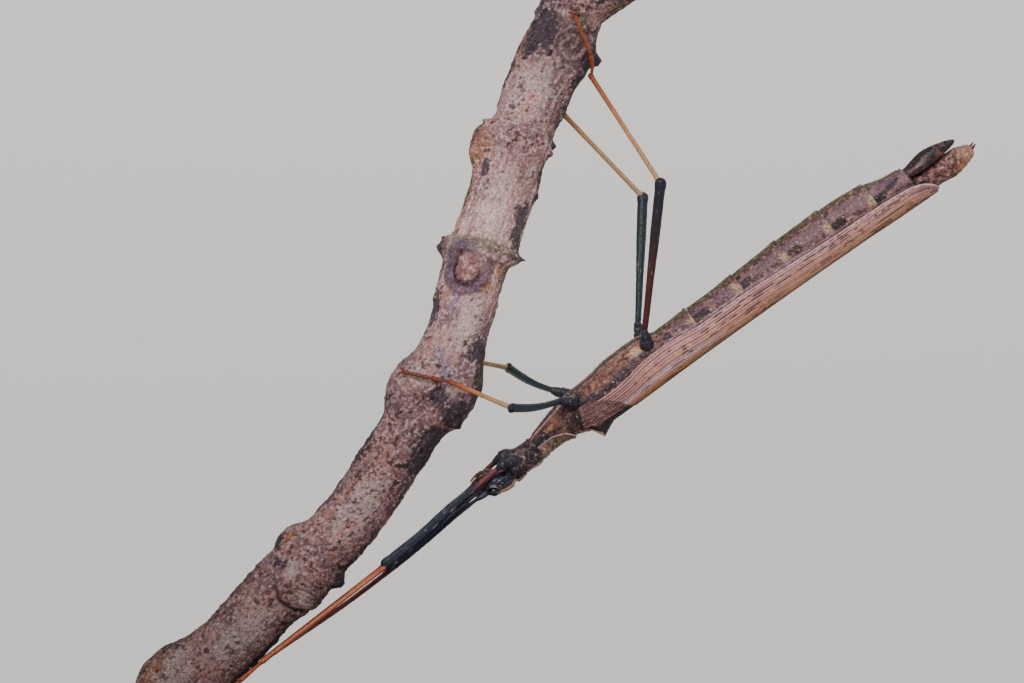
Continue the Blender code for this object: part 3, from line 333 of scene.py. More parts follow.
def smooth_rows(rows, x):
    """Every column of rows at x, along smooth curves that never overshoot the rows."""
    table = np.array(rows, dtype=float)
    knots = table[:, 0]
    values = table[:, 1:]
    slopes = np.diff(values, axis=0) / np.diff(knots)[:, None]
    before = slopes[:-1]
    after = slopes[1:]
    same_sign = before * after > 0
    total = np.where(same_sign, before + after, 1)
    inner = np.where(same_sign, 2 * before * after / total, 0)
    tangents = np.concatenate((slopes[:1], inner, slopes[-1:]))
    x = np.clip(np.asarray(x, dtype=float), knots[0], knots[-1])
    i = np.clip(np.searchsorted(knots, x) - 1, 0, len(knots) - 2)
    step = (knots[i + 1] - knots[i])[..., None]
    t = (x - knots[i])[..., None] / step
    start = values[i] * (1 + 2 * t) * (1 - t) ** 2 + tangents[i] * step * t * (1 - t) ** 2
    end = values[i + 1] * t * t * (3 - 2 * t) + tangents[i + 1] * step * t * t * (t - 1)
    return start + end


def column(rows, x):
    """The only column of rows at x."""
    return smooth_rows(rows, x)[..., 0]


def ease(t):
    """A soft step from 0 to 1."""
    t = np.clip(t, 0, 1)
    return t * t * (3 - 2 * t)


def window(x, low, high, soft):
    """1 between low and high, falling softly to 0 outside."""
    return ease((x - low) / soft + 0.5) * ease((high - x) / soft + 0.5)


def ridge(x, middle, half_width):
    return np.exp(-(((x - middle) / half_width) ** 2))


def spread_values(values, count):
    return np.interp(np.linspace(0, 1, count), np.linspace(0, 1, len(values)), values)


def path_rows(points):
    """Each point of a path with the length up to it in front."""
    points = np.array([tuple(point) for point in points], dtype=float)
    steps = np.linalg.norm(np.diff(points, axis=0), axis=1)
    return np.column_stack((np.concatenate(([0], np.cumsum(steps))), points))


def smooth_path(points, count):
    """Points spread evenly along a smooth curve through the given ones."""
    rows = path_rows(points)
    if len(rows) == 2:
        return rows[0, 1:] + np.linspace(0, 1, count)[:, None] * (rows[1, 1:] - rows[0, 1:])
    return smooth_rows(rows, np.linspace(0, rows[-1, 0], count))


def unit(vectors):
    """The same directions with a length of one."""
    return vectors / np.linalg.norm(vectors, axis=-1, keepdims=True)


# Random patterns, the same on each run


def lattice(cell, seed):
    """A number from 0 to 1 for each whole-numbered cell."""
    mixed = cell[..., 0] * 374761393 + cell[..., 1] * 668265263 + cell[..., 2] * 1442695041 + seed * 974634777
    mixed = (mixed ^ (mixed >> 13)) * 1103515245
    mixed = (mixed ^ (mixed >> 16)) * 374761393
    mixed = mixed ^ (mixed >> 15)
    return (mixed & 0xFFFFF) / 0xFFFFF


def noise(points, size, seed=0):
    """Smooth random values from -1 to 1, with bumps about size across."""
    scaled = points / size
    cell = np.floor(scaled).astype(np.int64)
    part = scaled - cell
    part = part * part * (3 - 2 * part)
    total = 0
    for corner in itertools.product((0, 1), repeat=3):
        weight = 1
        for axis in range(3):
            weight = weight * (part[..., axis] if corner[axis] else 1 - part[..., axis])
        total = total + weight * lattice(cell + np.array(corner), seed)
    return total * 2 - 1


def plane_points(x, y):
    """Points of a plane, for noise that is stretched its own way."""
    return np.stack((x, y, x * 0), axis=-1)


def layered_noise(points, size, seed=0, layers=3):
    total = 0
    for layer in range(layers):
        total = total + noise(points, size / 2**layer, seed + layer) / 2**layer
    return total / 1.5


def granules(points, size, seed, radius=0.34):
    """Domes scattered in cells about size across: the height of each from 0 to 1, and a number of its own."""
    scaled = points / size
    cell = np.floor(scaled).astype(np.int64)
    part = scaled - cell
    height = np.zeros(points.shape[:-1])
    own = np.zeros(points.shape[:-1])
    for corner in itertools.product((-1, 0, 1), repeat=3):
        near = cell + np.array(corner)
        centre = np.stack([lattice(near, seed + axis) for axis in range(3)], axis=-1) + np.array(corner)
        number = lattice(near, seed + 3)
        distance = np.linalg.norm(part - centre, axis=-1) / (radius * (0.55 + 0.45 * number))
        dome = np.sqrt(np.clip(1 - distance**2, 0, 1))
        own = np.where(dome > height, number, own)
        height = np.maximum(height, dome)
    return height, own


def net(across, along, seed):
    """Distance to the nearest border of a net of irregular cells one unit wide, from 0 on the border."""
    cell_x = np.floor(across).astype(np.int64)
    cell_y = np.floor(along).astype(np.int64)
    first = np.full(across.shape, 9.0)
    second = np.full(across.shape, 9.0)
    for step in itertools.product((-1, 0, 1), repeat=2):
        near = np.stack((cell_x + step[0], cell_y + step[1], np.zeros_like(cell_x)), axis=-1)
        centre_x = near[..., 0] + 0.5 + 0.8 * (lattice(near, seed) - 0.5)
        centre_y = near[..., 1] + 0.5 + 0.8 * (lattice(near, seed + 1) - 0.5)
        distance = np.hypot(across - centre_x, along - centre_y)
        second = np.minimum(second, np.maximum(first, distance))
        first = np.minimum(first, distance)
    return second - first


# Painting


def mix(under, over, share):
    """Paint laid over paint, with a share from 0 to 1."""
    return under + (over - under) * np.clip(share, 0, 1)[..., None]


def coated(under, *coats):
    """Paint under coats of other colours, each a colour and its share from 0 to 1."""
    for colour, share in coats:
        under = mix(under, srgb(colour), share)
    return under


def painted(like, base, *coats):
    """A base colour over all places of like, under coats of other colours."""
    return coated(np.broadcast_to(srgb(base), (*like.shape, 3)), *coats)


# Meshes

# Rings that round off a tube's end, and the last one's share of the radius
END_RINGS = 7
END_POINT = 0.06


def add_to_scene(name, data):
    """A new object of the scene."""
    thing = bpy.data.objects.new(name, data)
    bpy.context.scene.collection.objects.link(thing)
    return thing


def grid_surface(points, tint, gloss):
    """A closed surface from rings of points, one row to a ring, with a fan over each end."""
    rows, sides = points.shape[:2]
    index = np.arange(rows * sides).reshape(rows, sides)
    beside = np.roll(index, -1, axis=1)
    quads = np.stack((index[:-1], beside[:-1], beside[1:], index[1:]), axis=-1).reshape(-1, 4)
    ends = rows * sides + np.arange(2)[:, None] * np.ones(sides, dtype=np.int64)
    front = np.stack((ends[0], beside[0], index[0]), axis=-1)
    rear = np.stack((ends[1], index[-1], beside[-1]), axis=-1)

    def with_ends(values):
        flat = values.reshape(rows * sides, -1)
        return np.concatenate((flat, values[[0, -1]].reshape(2, sides, -1).mean(axis=1)))

    return {
        "points": with_ends(points),
        "quads": quads,
        "triangles": np.concatenate((front, rear)),
        "tint": with_ends(tint),
        "gloss": with_ends(gloss)[:, 0],
    }


def vane_surface(outer, inner, tint, gloss, flip):
    """A closed thin vane from a grid of outer points and one of inner points."""
    rows, columns = outer.shape[:2]
    count = rows * columns
    index = np.arange(count).reshape(rows, columns)
    face = np.stack((index[:-1, :-1], index[:-1, 1:], index[1:, 1:], index[1:, :-1]), axis=-1).reshape(-1, 4)
    rim = np.concatenate((index[:, 0], index[-1, 1:], index[-2::-1, -1], index[0, -2:0:-1]))
    after = np.roll(rim, -1)
    around = np.stack((rim, after, after + count, rim + count), axis=-1)
    quads = np.concatenate((face, face[:, ::-1] + count, around))
    return {
        "points": np.concatenate((outer.reshape(-1, 3), inner.reshape(-1, 3))),
        "quads": quads[:, ::-1] if flip else quads,
        "triangles": np.zeros((0, 3), dtype=np.int64),
        "tint": np.tile(tint.reshape(-1, 3), (2, 1)),
        "gloss": np.tile(gloss.ravel(), 2),
    }


def moved(surface, matrix):
    """The surface carried by a 4x4 matrix given in metres."""
    turn = np.array(matrix.to_3x3())
    shift = np.array(matrix.translation) / MM
    return {**surface, "points": surface["points"] @ turn.T + shift}


def make_object(name, surface):
    mesh = bpy.data.meshes.new(name)
    points = surface["points"]
    corners = np.concatenate((surface["quads"].ravel(), surface["triangles"].ravel()))
    sizes = np.concatenate((np.full(len(surface["quads"]), 4), np.full(len(surface["triangles"]), 3)))
    mesh.vertices.add(len(points))
    mesh.vertices.foreach_set("co", (points * MM).astype(np.float32).ravel())
    mesh.loops.add(len(corners))
    mesh.loops.foreach_set("vertex_index", corners.astype(np.int32))
    mesh.polygons.add(len(sizes))
    mesh.polygons.foreach_set("loop_start", np.concatenate(([0], np.cumsum(sizes)[:-1])).astype(np.int32))
    mesh.update(calc_edges=True)
    tint = mesh.color_attributes.new("tint", "FLOAT_COLOR", "POINT")
    rgba = np.concatenate((surface["tint"], np.ones((len(points), 1))), axis=1)
    tint.data.foreach_set("color", rgba.astype(np.float32).ravel())
    for attribute, values in (("gloss", surface["gloss"]), ("given", np.ones(len(points)))):
        layer = mesh.attributes.new(attribute, "FLOAT", "POINT")
        layer.data.foreach_set("value", values.astype(np.float32))
    mesh.shade_smooth()
    return add_to_scene(name, mesh)


def read_values(mesh, name, key, width):
    values = np.zeros(len(mesh.vertices) * width, dtype=np.float32)
    mesh.attributes[name].data.foreach_get(key, values)
    return values.reshape(-1, width)


def paint_seams(mesh):
    """Gives each point that a union made the mean paint of its neighbours."""
    unknown = read_values(mesh, "given", "value", 1)[:, 0] < 0.99
    tint = read_values(mesh, "tint", "color", 4)
    paint = np.concatenate((tint, read_values(mesh, "gloss", "value", 1)), axis=1)
    edges = np.zeros(len(mesh.edges) * 2, dtype=np.int32)
    mesh.edges.foreach_get("vertices", edges)
    pairs = edges.reshape(-1, 2)
    pairs = np.concatenate((pairs, pairs[:, ::-1]))
    while unknown.any():
        useful = pairs[unknown[pairs[:, 0]] & ~unknown[pairs[:, 1]]]
        count = np.bincount(useful[:, 0], minlength=len(unknown))
        reached = count > 0
        if not reached.any():
            break
        for channel in range(paint.shape[1]):
            total = np.bincount(useful[:, 0], paint[useful[:, 1], channel], minlength=len(unknown))
            paint[reached, channel] = total[reached] / count[reached]
        unknown = unknown & ~reached
    mesh.attributes["tint"].data.foreach_set("color", np.ascontiguousarray(paint[:, :4]).ravel())
    mesh.attributes["gloss"].data.foreach_set("value", np.ascontiguousarray(paint[:, 4]))


def fused(name, surfaces):
    """One closed mesh from closed surfaces that reach into one another."""
    body, *others = [make_object(f"{name}_{i}", surface) for i, surface in enumerate(surfaces)]
    collection = bpy.data.collections.new("pieces")
    bpy.context.scene.collection.children.link(collection)
    for other in others:
        bpy.context.scene.collection.objects.unlink(other)
        collection.objects.link(other)
    modifier = body.modifiers.new("union", "BOOLEAN")
    modifier.operation = "UNION"
    modifier.solver = "MANIFOLD"
    modifier.operand_type = "COLLECTION"
    modifier.collection = collection
    bpy.context.view_layer.update()
    shaped = bpy.data.meshes.new_from_object(body.evaluated_get(bpy.context.evaluated_depsgraph_get()))
    body.modifiers.clear()
    body.data = shaped
    for other in others:
        bpy.data.objects.remove(other, do_unlink=True)
    bpy.data.collections.remove(collection)
    paint_seams(shaped)
    body.name = name
    return body


def finish_piece(thing, material, slot, *replaced):
    """Gives a piece its material and smooth shading, ties it to the root and hides the parts that it
    replaces.
    """
    thing.data.materials.clear()
    thing.data.materials.append(material)
    thing.data.shade_smooth()
    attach(thing, "root")
    if replaced:
        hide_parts(*replaced)


def tube_grid(path, radii, sides, flat=1.0, side_axis=(0.0, 1.0, 0.0), ends=(True, True)):
    """Rings of points round a path, and how far along it each ring is, from 0 to 1. An end may be rounded."""
    path = np.asarray(path, dtype=float)
    ahead = unit(np.gradient(path, axis=0))
    place = np.linspace(0, 1, len(path))
    turns = np.linspace(0, math.pi / 2, END_RINGS + 1)[1:]
    for at, order, rounded in ((0, -1, ends[0]), (-1, 1, ends[1])):
        if rounded:
            cap = (path[at] + order * ahead[at] * (np.sin(turns)[::order, None] * radii[at]),
                   np.repeat(ahead[at][None], END_RINGS, axis=0),
                   radii[at] * np.maximum(np.cos(turns)[::order], END_POINT),
                   np.full(END_RINGS, place[at]))
            tube = (path, ahead, radii, place)
            parts = zip(cap, tube) if order < 0 else zip(tube, cap)
            path, ahead, radii, place = (np.concatenate(pair) for pair in parts)
    side_axis = np.array(side_axis, dtype=float)
    across = unit(side_axis - ahead * (ahead @ side_axis)[:, None])
    upright = np.cross(ahead, across)
    angles = 2 * math.pi * np.arange(sides) / sides
    reach = across[:, None] * np.cos(angles)[None, :, None] * flat
    reach = reach + upright[:, None] * np.sin(angles)[None, :, None]
    return path[:, None] + reach * radii[:, None, None], place, angles


def grid_normals(points):
    """Outward normals of a grid that is closed round each ring."""
    along = np.gradient(points, axis=0)
    around = np.roll(points, -1, axis=1) - np.roll(points, 1, axis=1)
    normals = np.cross(around, along)
    return normals / np.maximum(np.linalg.norm(normals, axis=-1, keepdims=True), 1e-9)


# The insect's frame


def insect_matrix():
    """Carries the insect's own frame into the world, in metres."""
    tail = Vector((math.cos(BODY_RISE), 0, math.sin(BODY_RISE)))
    belly_up = Vector((-math.sin(BODY_RISE), 0, math.cos(BODY_RISE)))
    towards_viewer = Vector((0, -1, 0))
    back = -(math.cos(BODY_ROLL) * belly_up + math.sin(BODY_ROLL) * towards_viewer)
    right = math.cos(BODY_ROLL) * towards_viewer - math.sin(BODY_ROLL) * belly_up
    turn = Matrix((tail, right, back)).transposed().to_4x4()
    return Matrix.Translation(Vector(HEAD_FRONT) * MM) @ turn


INSECT = insect_matrix()
RIGHT_SIDE = tuple(INSECT.to_3x3() @ Vector((0, 1, 0)))


def insect_to_world(point):
    return tuple((INSECT @ (Vector(point) * MM)) / MM)


def mirrored(point, side):
    return (point[0], point[1] * side, point[2])


def bent_radius(angle, half_width, height):
    """Distance from the waist to a rounded outline with this half width and height."""
    across = np.abs(np.cos(angle)) / half_width
    up = np.abs(np.sin(angle)) / height
    return (across**RING_POWER + up**RING_POWER) ** (-1 / RING_POWER)


def ring_grid(places, sides, rows):
    """Rings of a body: place along, angle folded to the right side, angle, waist and radius of each point."""
    along, degrees = np.meshgrid(places, -90 + 360 * np.arange(sides) / sides, indexing="ij")
    angle = np.radians(degrees)
    belly, waist, back, half_width = np.moveaxis(smooth_rows(rows, along), -1, 0)
    height = np.where(np.sin(angle) > 0, back - waist, waist - belly)
    folded = np.where(degrees <= 90, degrees, 180 - degrees)
    return along, folded, angle, waist, bent_radius(angle, half_width, height)


def ring_points(along, angle, waist, radius, lean=0.0):
    """The points of such rings, which may lean forward towards the back."""
    z = waist + radius * np.sin(angle)
    return np.stack((along + lean * (z - WING_WAIST), radius * np.cos(angle), z), axis=-1)


def wing_radius(along, degrees):
    """Outer surface of the closed wings, from the wing's waist."""
    back, half_width = np.moveaxis(smooth_rows(WING_RINGS, along), -1, 0)
    height = np.where(degrees > 0, back - WING_WAIST, half_width)
    return bent_radius(np.radians(degrees), half_width, height)


def trunk_lean(along):
    """How far rings lean forward towards the back, round the joint between mesothorax and metathorax."""
    rising = ease((along - MESO_LEAN_START) / MESO_LEAN_LENGTH)
    return PLEURAL_LEAN * rising * (1 - ease((along - META_LEAN_START) / META_LEAN_LENGTH))


# Trunk

# Small eyespots of the crown: along, angle
EYESPOTS = ((1.35, 80), (1.05, 90))
# Pale dots of the cheek: along, angle
HEAD_DOTS = ((2.35, 4), (2.7, -4), (2.62, -20))
# Where the paint of each part of the trunk starts, after the head's
PAINT_STARTS = (3.85, 7.95, 13.28, 25.5, 57.45)


def trunk_places():
    places = [np.arange(start, end, step) for start, end, step in TRUNK_STRETCHES]
    return np.concatenate((*places, [TRUNK_STRETCHES[-1][1]]))


def segment_share(along):
    """How far along its own segment of the abdomen a place is, from 0 to 1, and which segment."""
    ends = np.array(SEGMENT_ENDS)
    number = np.clip(np.searchsorted(ends, along) - 1, 0, len(ends) - 2)
    return np.clip((along - ends[number]) / (ends[number + 1] - ends[number]), 0, 1), number


def abdomen_relief(along, folded):
    """Flared segment ends with a groove behind each and creases before it."""
    share, _ = segment_share(along)
    here = window(along, SEGMENT_ENDS[0], SEGMENT_ENDS[-1] + 0.1, 0.2)
    rim = SEGMENT_FLARE * share**3 * ease((-10 - folded) / 50) + 0.03 * ridge(share, 0.985, 0.012)
    groove = sum(ridge(along, end + 0.1, 0.1) for end in SEGMENT_ENDS[1:-1])
    creases = 0.02 * np.sin(along * 9) * ease((share - 0.8) / 0.1)
    return here * (rim - 0.045 * groove + creases)


def notum_margin(along):
    """Angle of the pale rim that parts the mesothorax's back from its side."""
    return np.interp(along, (8.4, 9.9, 11.3, 13.25), (-14, -10, 11, 58))


def keel_relief(along, folded):
    """Long ridges of the body: belly keel, side keels and the rim of the mesothorax's back."""
    behind = ease((along - 25) / 2)
    thorax = window(along, 8.3, 24.5, 1)
    ventral = 0.13 * thorax * ridge(folded, -72 - 3 * ease((along - 14) / 6), 3)
    side_line = 0.08 * behind * ridge(folded - column(WING_EDGE, along), -5, 2.6) * window(along, 25, 50, 4)
    belly_line = 0.05 * behind * ridge(np.abs(folded), 90, 4) * (folded < 0)
    margin = 0.16 * window(along, 8.5, 13.2, 0.6) * ridge(folded, notum_margin(along), 3.2)
    return ventral + side_line + belly_line + margin


def head_relief(along, folded):
    """Cheeks, brows, the furrows of the crown, the sockets of the feelers and three small eyespots."""
    here = window(along, 0.6, 3.8, 0.3)
    furrow = -0.05 * ridge(folded, 90, 5) * window(along, 2, 3.7, 0.5)
    furrow = furrow - 0.04 * ridge(folded, 62 - 4 * (along - 2), 3) * window(along, 2, 3.6, 0.4)
    cheek = 0.07 * ridge(folded, -10, 22) * ridge(along, 2.3, 0.7)
    seam = -0.05 * ridge(folded, -8 - 16 * (along - 1.6), 4) * window(along, 1.5, 2.9, 0.3)
    stripe = 0.04 * ridge(folded, 36, 7) * window(along, 1.9, 3.7, 0.4)
    brow = 0.06 * ridge(folded, 62, 12) * ridge(along, 1.25, 0.35)
    socket = 0.11 * ridge(np.hypot((along - 0.98) * 60, folded - 58), 19, 5)
    spots = sum(0.07 * np.exp(-(((along - place) / 0.11) ** 2) - ((folded - angle) / 5) ** 2)
                for place, angle in EYESPOTS)
    rear = 0.05 * ridge(along, 3.45, 0.12) * ease((folded + 40) / 30)
    return here * (furrow + cheek + seam + stripe + brow + socket + spots + rear)


def pleural_seam(along, folded):
    """The slanting pale seam that crosses the prothorax's side, from 0 to 1."""
    return ridge(along, 5.9 + (folded + 32) * 0.013, 0.13) * window(folded, -62, 2, 10)


def prothorax_relief(along, folded):
    """The pronotum's raised rim, its long furrow and its cross furrow, and the folds of the side."""
    here = window(along, 4.1, 7.8, 0.2)
    shield = 0.06 * ease((folded - 40) / 6)
    rim = 0.05 * ridge(folded, 44, 4)
    furrow = -0.07 * ridge(folded, 90, 4) * window(along, 4.6, 7.2, 0.5)
    cross = -0.09 * ridge(along, 5.55, 0.11) * ease((folded - 30) / 14)
    fold = -0.08 * ridge(folded, -20 + 14 * np.sin(along * 1.7), 5) * window(along, 4.6, 7.4, 0.5)
    side_ridge = 0.08 * ridge(folded, -45, 4) * window(along, 4.7, 6.2, 0.3)
    collar = 0.05 * ridge(along, 4.25, 0.1) + 0.04 * ridge(along, 7.45, 0.12)
    swelling = 0.13 * ridge(along, 4.75, 0.65) * window(folded, -84, 34, 30)
    seam = pleural_seam(along, folded)
    return here * (shield + rim + furrow + cross + 0.6 * fold + side_ridge + collar + swelling + 0.07 * seam)


def trunk_rough(along):
    """How rough the surface is: low on the head, high on the thorax."""
    return np.interp(along, (0, 3.7, 4.3, 8, 24, 27, 57, 60, 65), (0.2, 0.25, 0.8, 1.1, 1, 0.6, 0.6, 1, 0.9))


def head_paint(along, folded, broad, fine):
    dots = [np.hypot((along - place) / 0.06, (folded - angle) / 2.4) for place, angle in HEAD_DOTS]
    return painted(
        along, BLUE_BLACK,
        (SLATE, 0.22 * ease(broad + 0.1) * window(folded, -50, 20, 20)),
        (DARK_BROWN, window(folded, 43, 100, 4) * (0.75 + 0.25 * fine)),
        (OLIVE, window(folded, 56, 84, 8) * ease(fine * 1.5 + 0.5) * 0.8),
        ((236, 184, 142), ridge(folded, 36 + 1.5 * broad, 6) ** 0.6 * window(along, 1.85, 3.9, 0.25)),
        # A thin blue-grey streak along the cheek: a painted highlight on the glossy head.
        ((130, 134, 150), ridge(folded, 14 - 5 * (along - 2.3), 3.5) * window(along, 1.9, 3.3, 0.5) * 0.35),
        *((WHITE_DOT, ease((1.2 - dot) / 0.5) * 0.7) for dot in dots),
        (DARK_BROWN, window(along, 0, 0.7, 0.25) * 0.8),
        (BROWN, window(folded, -100, -62, 12) * 0.7))


def prothorax_paint(along, folded, broad, fine):
    side = window(folded, -84, 44, 16)
    behind = ease((along - 5.4) / 0.8)
    brown = ease(fine * 1.6 + 0.1 + 0.45 * behind + 0.3 * broad)
    neck = ridge(along, 4.02, 0.17) * window(folded, 18, 60, 14)
    return painted(
        along, BLACK,
        (SLATE, 0.5 * ease(-broad * 1.5 + 0.2)),
        ((122, 92, 92), (0.2 + 0.6 * behind) * brown * side),
        (BLACK, ridge(along, 7.5, 0.55) * ridge(folded, 26, 13) * ease(fine * 1.6 + 0.5) * 0.75),
        ((184, 144, 140), (0.1 + 0.4 * behind) * ease(fine * 2.8 - 1.2) * side),
        ((152, 112, 90), window(folded, 44, 100, 6) * ease(fine + 0.8)),
        (CREAM, window(folded, 46, 70, 8) * ease(fine * 1.6 + 0.3) * 0.85),
        (DARK_BROWN, window(folded, -100, -72, 10) * 0.8),
        ((32, 32, 48), ridge(along, 7.9, 0.6) * ridge(folded, -14, 22) * ease(fine + 1) * 0.85),
        ((222, 186, 180), neck * ease(fine * 2.2 + 0.7) * 0.85),
        ((196, 158, 156), pleural_seam(along, folded) * ease(fine * 1.6 + 0.8) * 0.75))


def mesothorax_paint(along, folded, broad, fine):
    side = folded - notum_margin(along)
    front = window(along, 7.4, 10.2, 1.6) * window(folded, -66, 4, 10)
    wedge = ridge(along, 8.6, 1.5) * ridge(folded, -18 + 6 * (along - 8.6), 24)
    streak = ridge(folded, -24 + 6 * (along - 10), 7) * window(along, 8, 11.4, 0.8)
    patch = ridge(along, 10.2, 0.9) * ridge(folded, -42, 12)
    rear = window(along, 11.7, 13.6, 0.9) * (side < 0)
    return painted(
        along, (128, 90, 78),
        (DARK_BROWN, ease(broad * 1.6 - 0.1) * 0.7),
        ((176, 116, 84), ease(fine * 2 - 0.25) * window(along, 9, 12.4, 1) * 0.8),
        ((36, 32, 46), front * ease(1 + fine * 1.6) * 0.95),
        ((32, 32, 48), ease(wedge * 2.8 + 0.5 * fine - 0.35) * 0.92),
        (BLACK, streak * ease(fine * 1.4 + 0.8) * 0.9),
        ((206, 148, 114), ease(patch * 1.6 + 1.5 * fine - 0.8) * 0.85),
        ((46, 28, 32), rear * ease(fine * 1.6 + 0.95 + 0.5 * broad) * 0.85),
        (BLACK, ease((along - 12.86) / 0.26) * (side < 4) * 0.85),
        (DARK_BROWN, window(folded, -100, -75, 5) * 0.85),
        ((158, 130, 106), ease(side / 6) * 0.9),
        ((112, 96, 78), ease(side / 6) * ease(broad * 2 + 0.3) * 0.8),
        (DARK_BROWN, ease(side / 6) * ease(fine * 2.4 - 0.4) * 0.8),
        (CREAM, ease(side / 6) * ease(-fine * 2.6 - 0.8) * 0.7),
        (PINK_WHITE, ridge(side, 0, 2.6) * ease(1.1 + fine) * 0.9),
        (PALE_PINK, ridge(folded, -72, 2.4) * ease(1 + fine * 1.3) * 0.8))


def metathorax_paint(along, folded, broad, fine):
    streaks = noise(plane_points(along / 0.62, folded / 5.5), 1, 25)
    wing_side = folded - column(WING_EDGE, along)
    glow = ridge(along, 22.5, 1) * ridge(folded, -58, 13)
    return painted(
        along, (140, 98, 84),
        ((196, 148, 116), ease(fine * 1.8 - 0.2) * window(folded, -70, -36, 12) * 0.75),
        ((110, 66, 62), ease(broad * 1.4 + 0.2) * 0.6),
        ((62, 36, 36), ease(streaks * 2.2 - 0.35 - fine * 1.4) * 0.85),
        ((206, 158, 138), ease(-streaks * 2.4 - 0.9 + fine * 0.8) * 0.45),
        ((84, 66, 76), window(wing_side, -20, -3, 9) * 0.75 * window(along, 14.5, 23.5, 2)),
        (BLACK, window(wing_side, -16, -2, 7) * ease(fine * 1.9 + 0.2) * 0.85),
        (OLIVE, window(folded, -100, -79, 4) * 0.95),
        (BLACK, window(folded, -100, -80, 4) * ease(fine * 2 + 0.2) * 0.8),
        (PALE_PINK, ridge(folded, -75.5, 1.8) * ease(0.9 + fine * 1.4) * 0.75),
        ((236, 190, 146), ease(glow * 1.7 + 0.5 * fine - 0.45)),
        (BLACK, ridge(along, 14, 1) * window(folded, -80, -10, 15) * 0.85))


def abdomen_paint(along, folded, broad, fine):
    share, number = segment_share(along)
    belt = window(folded, -75, -62, 5)
    rim = window(folded, -100, -70 + 4 * broad, 5)
    beside = folded - column(WING_EDGE, along)
    streaks = window(beside, -22, -8, 4)
    start = window(share, 0.015, 0.3 + 0.06 * np.sin(number * 2.1), 0.08)
    mark = start * window(beside, -31, -9, 7)
    cream = ease((share - 0.72) / 0.2) * ridge(beside, -23, 20) * (number < 5)
    wedge = (number == 5) * ridge(folded, -14 - 40 * share, 12 - 4 * share) * window(share, -0.05, 0.8, 0.2)
    edge_line = ridge(beside, -5, 2.4) * (1 - ease((along - 42) / 6))
    return painted(
        along, (142, 108, 108),
        ((188, 148, 140), 0.6 * ease(fine * 1.8 - 0.1)),
        (SLATE, 0.35 * window(folded, -62, -44, 6) * ease(0.5 + broad * 1.4)),
        ((94, 56, 50), belt * ease(fine * 2 + 0.75) * 0.9),
        ((190, 146, 104), belt * ease(fine * -2.4 - 0.35) * 0.8),
        (OLIVE, rim),
        (CREAM, rim * ease(fine * 2.6 - 0.8) * 0.8),
        (BLACK, rim * ease(-fine * 2.6 - 0.25) * 0.85),
        ((62, 40, 42), streaks * ease(fine * 2.4 + 0.35) * 0.85),
        ((206, 164, 128), streaks * ease(-fine * 2.6 - 0.5) * 0.7),
        ((44, 28, 32), ease(mark * 1.6 + 1.1 * fine + 0.6 * broad - 0.45) * 0.9),
        (BLACK, window(share, 0.01, 0.1, 0.04) * window(folded, -70, -58, 5) * ease(0.8 + fine) * 0.8),
        ((212, 182, 138), ease(cream * 1.8 + 1.5 * fine - 0.85) * 0.9),
        (BLACK, ease(wedge * 1.5 + 0.8 * fine - 0.3) * 0.9),
        ((214, 190, 196), edge_line * ease(0.5 + fine * 1.8) * 0.8),
        (DARK_BROWN, sum(ridge(along, end + 0.08, 0.08) for end in SEGMENT_ENDS[1:]) * 0.35))


def tail_paint(along, folded, broad, fine):
    flank = window(folded, -30, 34, 14) * ease(-fine * 2.4 - 0.2 + 0.6 * broad)
    return painted(
        along, (142, 98, 90),
        ((44, 30, 34), ease(fine * 2.2 + 0.12) * 0.85),
        (BLACK, ease((59.8 - along) / 1.6 + 0.4 * fine) * 0.8),
        ((196, 132, 120), flank * 0.8),
        (CREAM, ease(-fine * 2.6 - 0.6) * ease((along - 60) / 2) * 0.85),
        ((216, 172, 132), ease((along - 62.9) / 0.9) * ease(0.4 + fine * 1.6) * 0.8),
        (ORANGE, ridge(along, 62.8, 0.4) * ridge(folded, 34, 16) * ease(fine + 0.8) * 0.9),
        (BLACK, window(folded, 40, 100, 16) * window(along, 59.5, 62.4, 0.8) * ease(0.7 + fine) * 0.8),
        (OLIVE, window(folded, 58, 100, 12) * ease((along - 62.4) / 0.6) * ease(fine + 0.5) * 0.7))


def trunk_paint(along, folded, points):
    """The paints of all parts, with ragged borders, under small dark and pale flecks."""
    broad = layered_noise(points, 1.1, 11)
    fine = layered_noise(points, 0.28, 23)
    tint = head_paint(along, folded, broad, fine)
    paints = (prothorax_paint, mesothorax_paint, metathorax_paint, abdomen_paint, tail_paint)
    for start, paint in zip(PAINT_STARTS, paints):
        ragged = (along - start + 0.22 * fine) / 0.24
        tint = mix(tint, paint(along, folded, broad, fine), ease(ragged + 0.5))
    tiny = layered_noise(points, 0.17, 27, 2)
    mottled = np.interp(along, (0, 3.8, 4.8, 10, 60, 65), (0.2, 0.4, 0.8, 1, 1, 0.9))
    return coated(tint, ((38, 25, 29), ease(tiny * 2.8 - 0.65) * 0.7 * mottled),
                  ((222, 184, 172), ease(-tiny * 2.8 - 0.9) * 0.6 * mottled))


def trunk_gloss(along, folded):
    gloss = np.interp(along, (0, 3.6, 3.9, 7.8, 9, 56, 58), (0.85, 0.85, 0.5, 0.45, 0.25, 0.25, 0.4))
    return gloss * np.where((along < 3.9) & (folded > 44), 0.5, 1)


def carve_sockets(points):
    """Hollows the head round each eye and raises a rim there."""
    for side in (1, -1):
        centre = np.array(mirrored(EYE_PLACE, side))
        outward = np.array(mirrored(SOCKET_AXIS, side))
        away = points - centre
        depth = away @ outward
        beside = np.linalg.norm(away - depth[..., None] * outward, axis=-1)
        near = (depth > -0.9) & (np.abs(away[..., 0]) < 1)
        inside = near & (beside < SOCKET_RADIUS)
        floor = -np.sqrt(np.clip(SOCKET_RADIUS**2 - beside**2, 0, None))
        shift = np.where(inside & (depth > floor), floor - depth, 0)
        lift = 0.24 * ridge(beside, SOCKET_RADIUS + 0.1, 0.13) * near
        points = points + (shift + lift * ~inside)[..., None] * outward
    return points


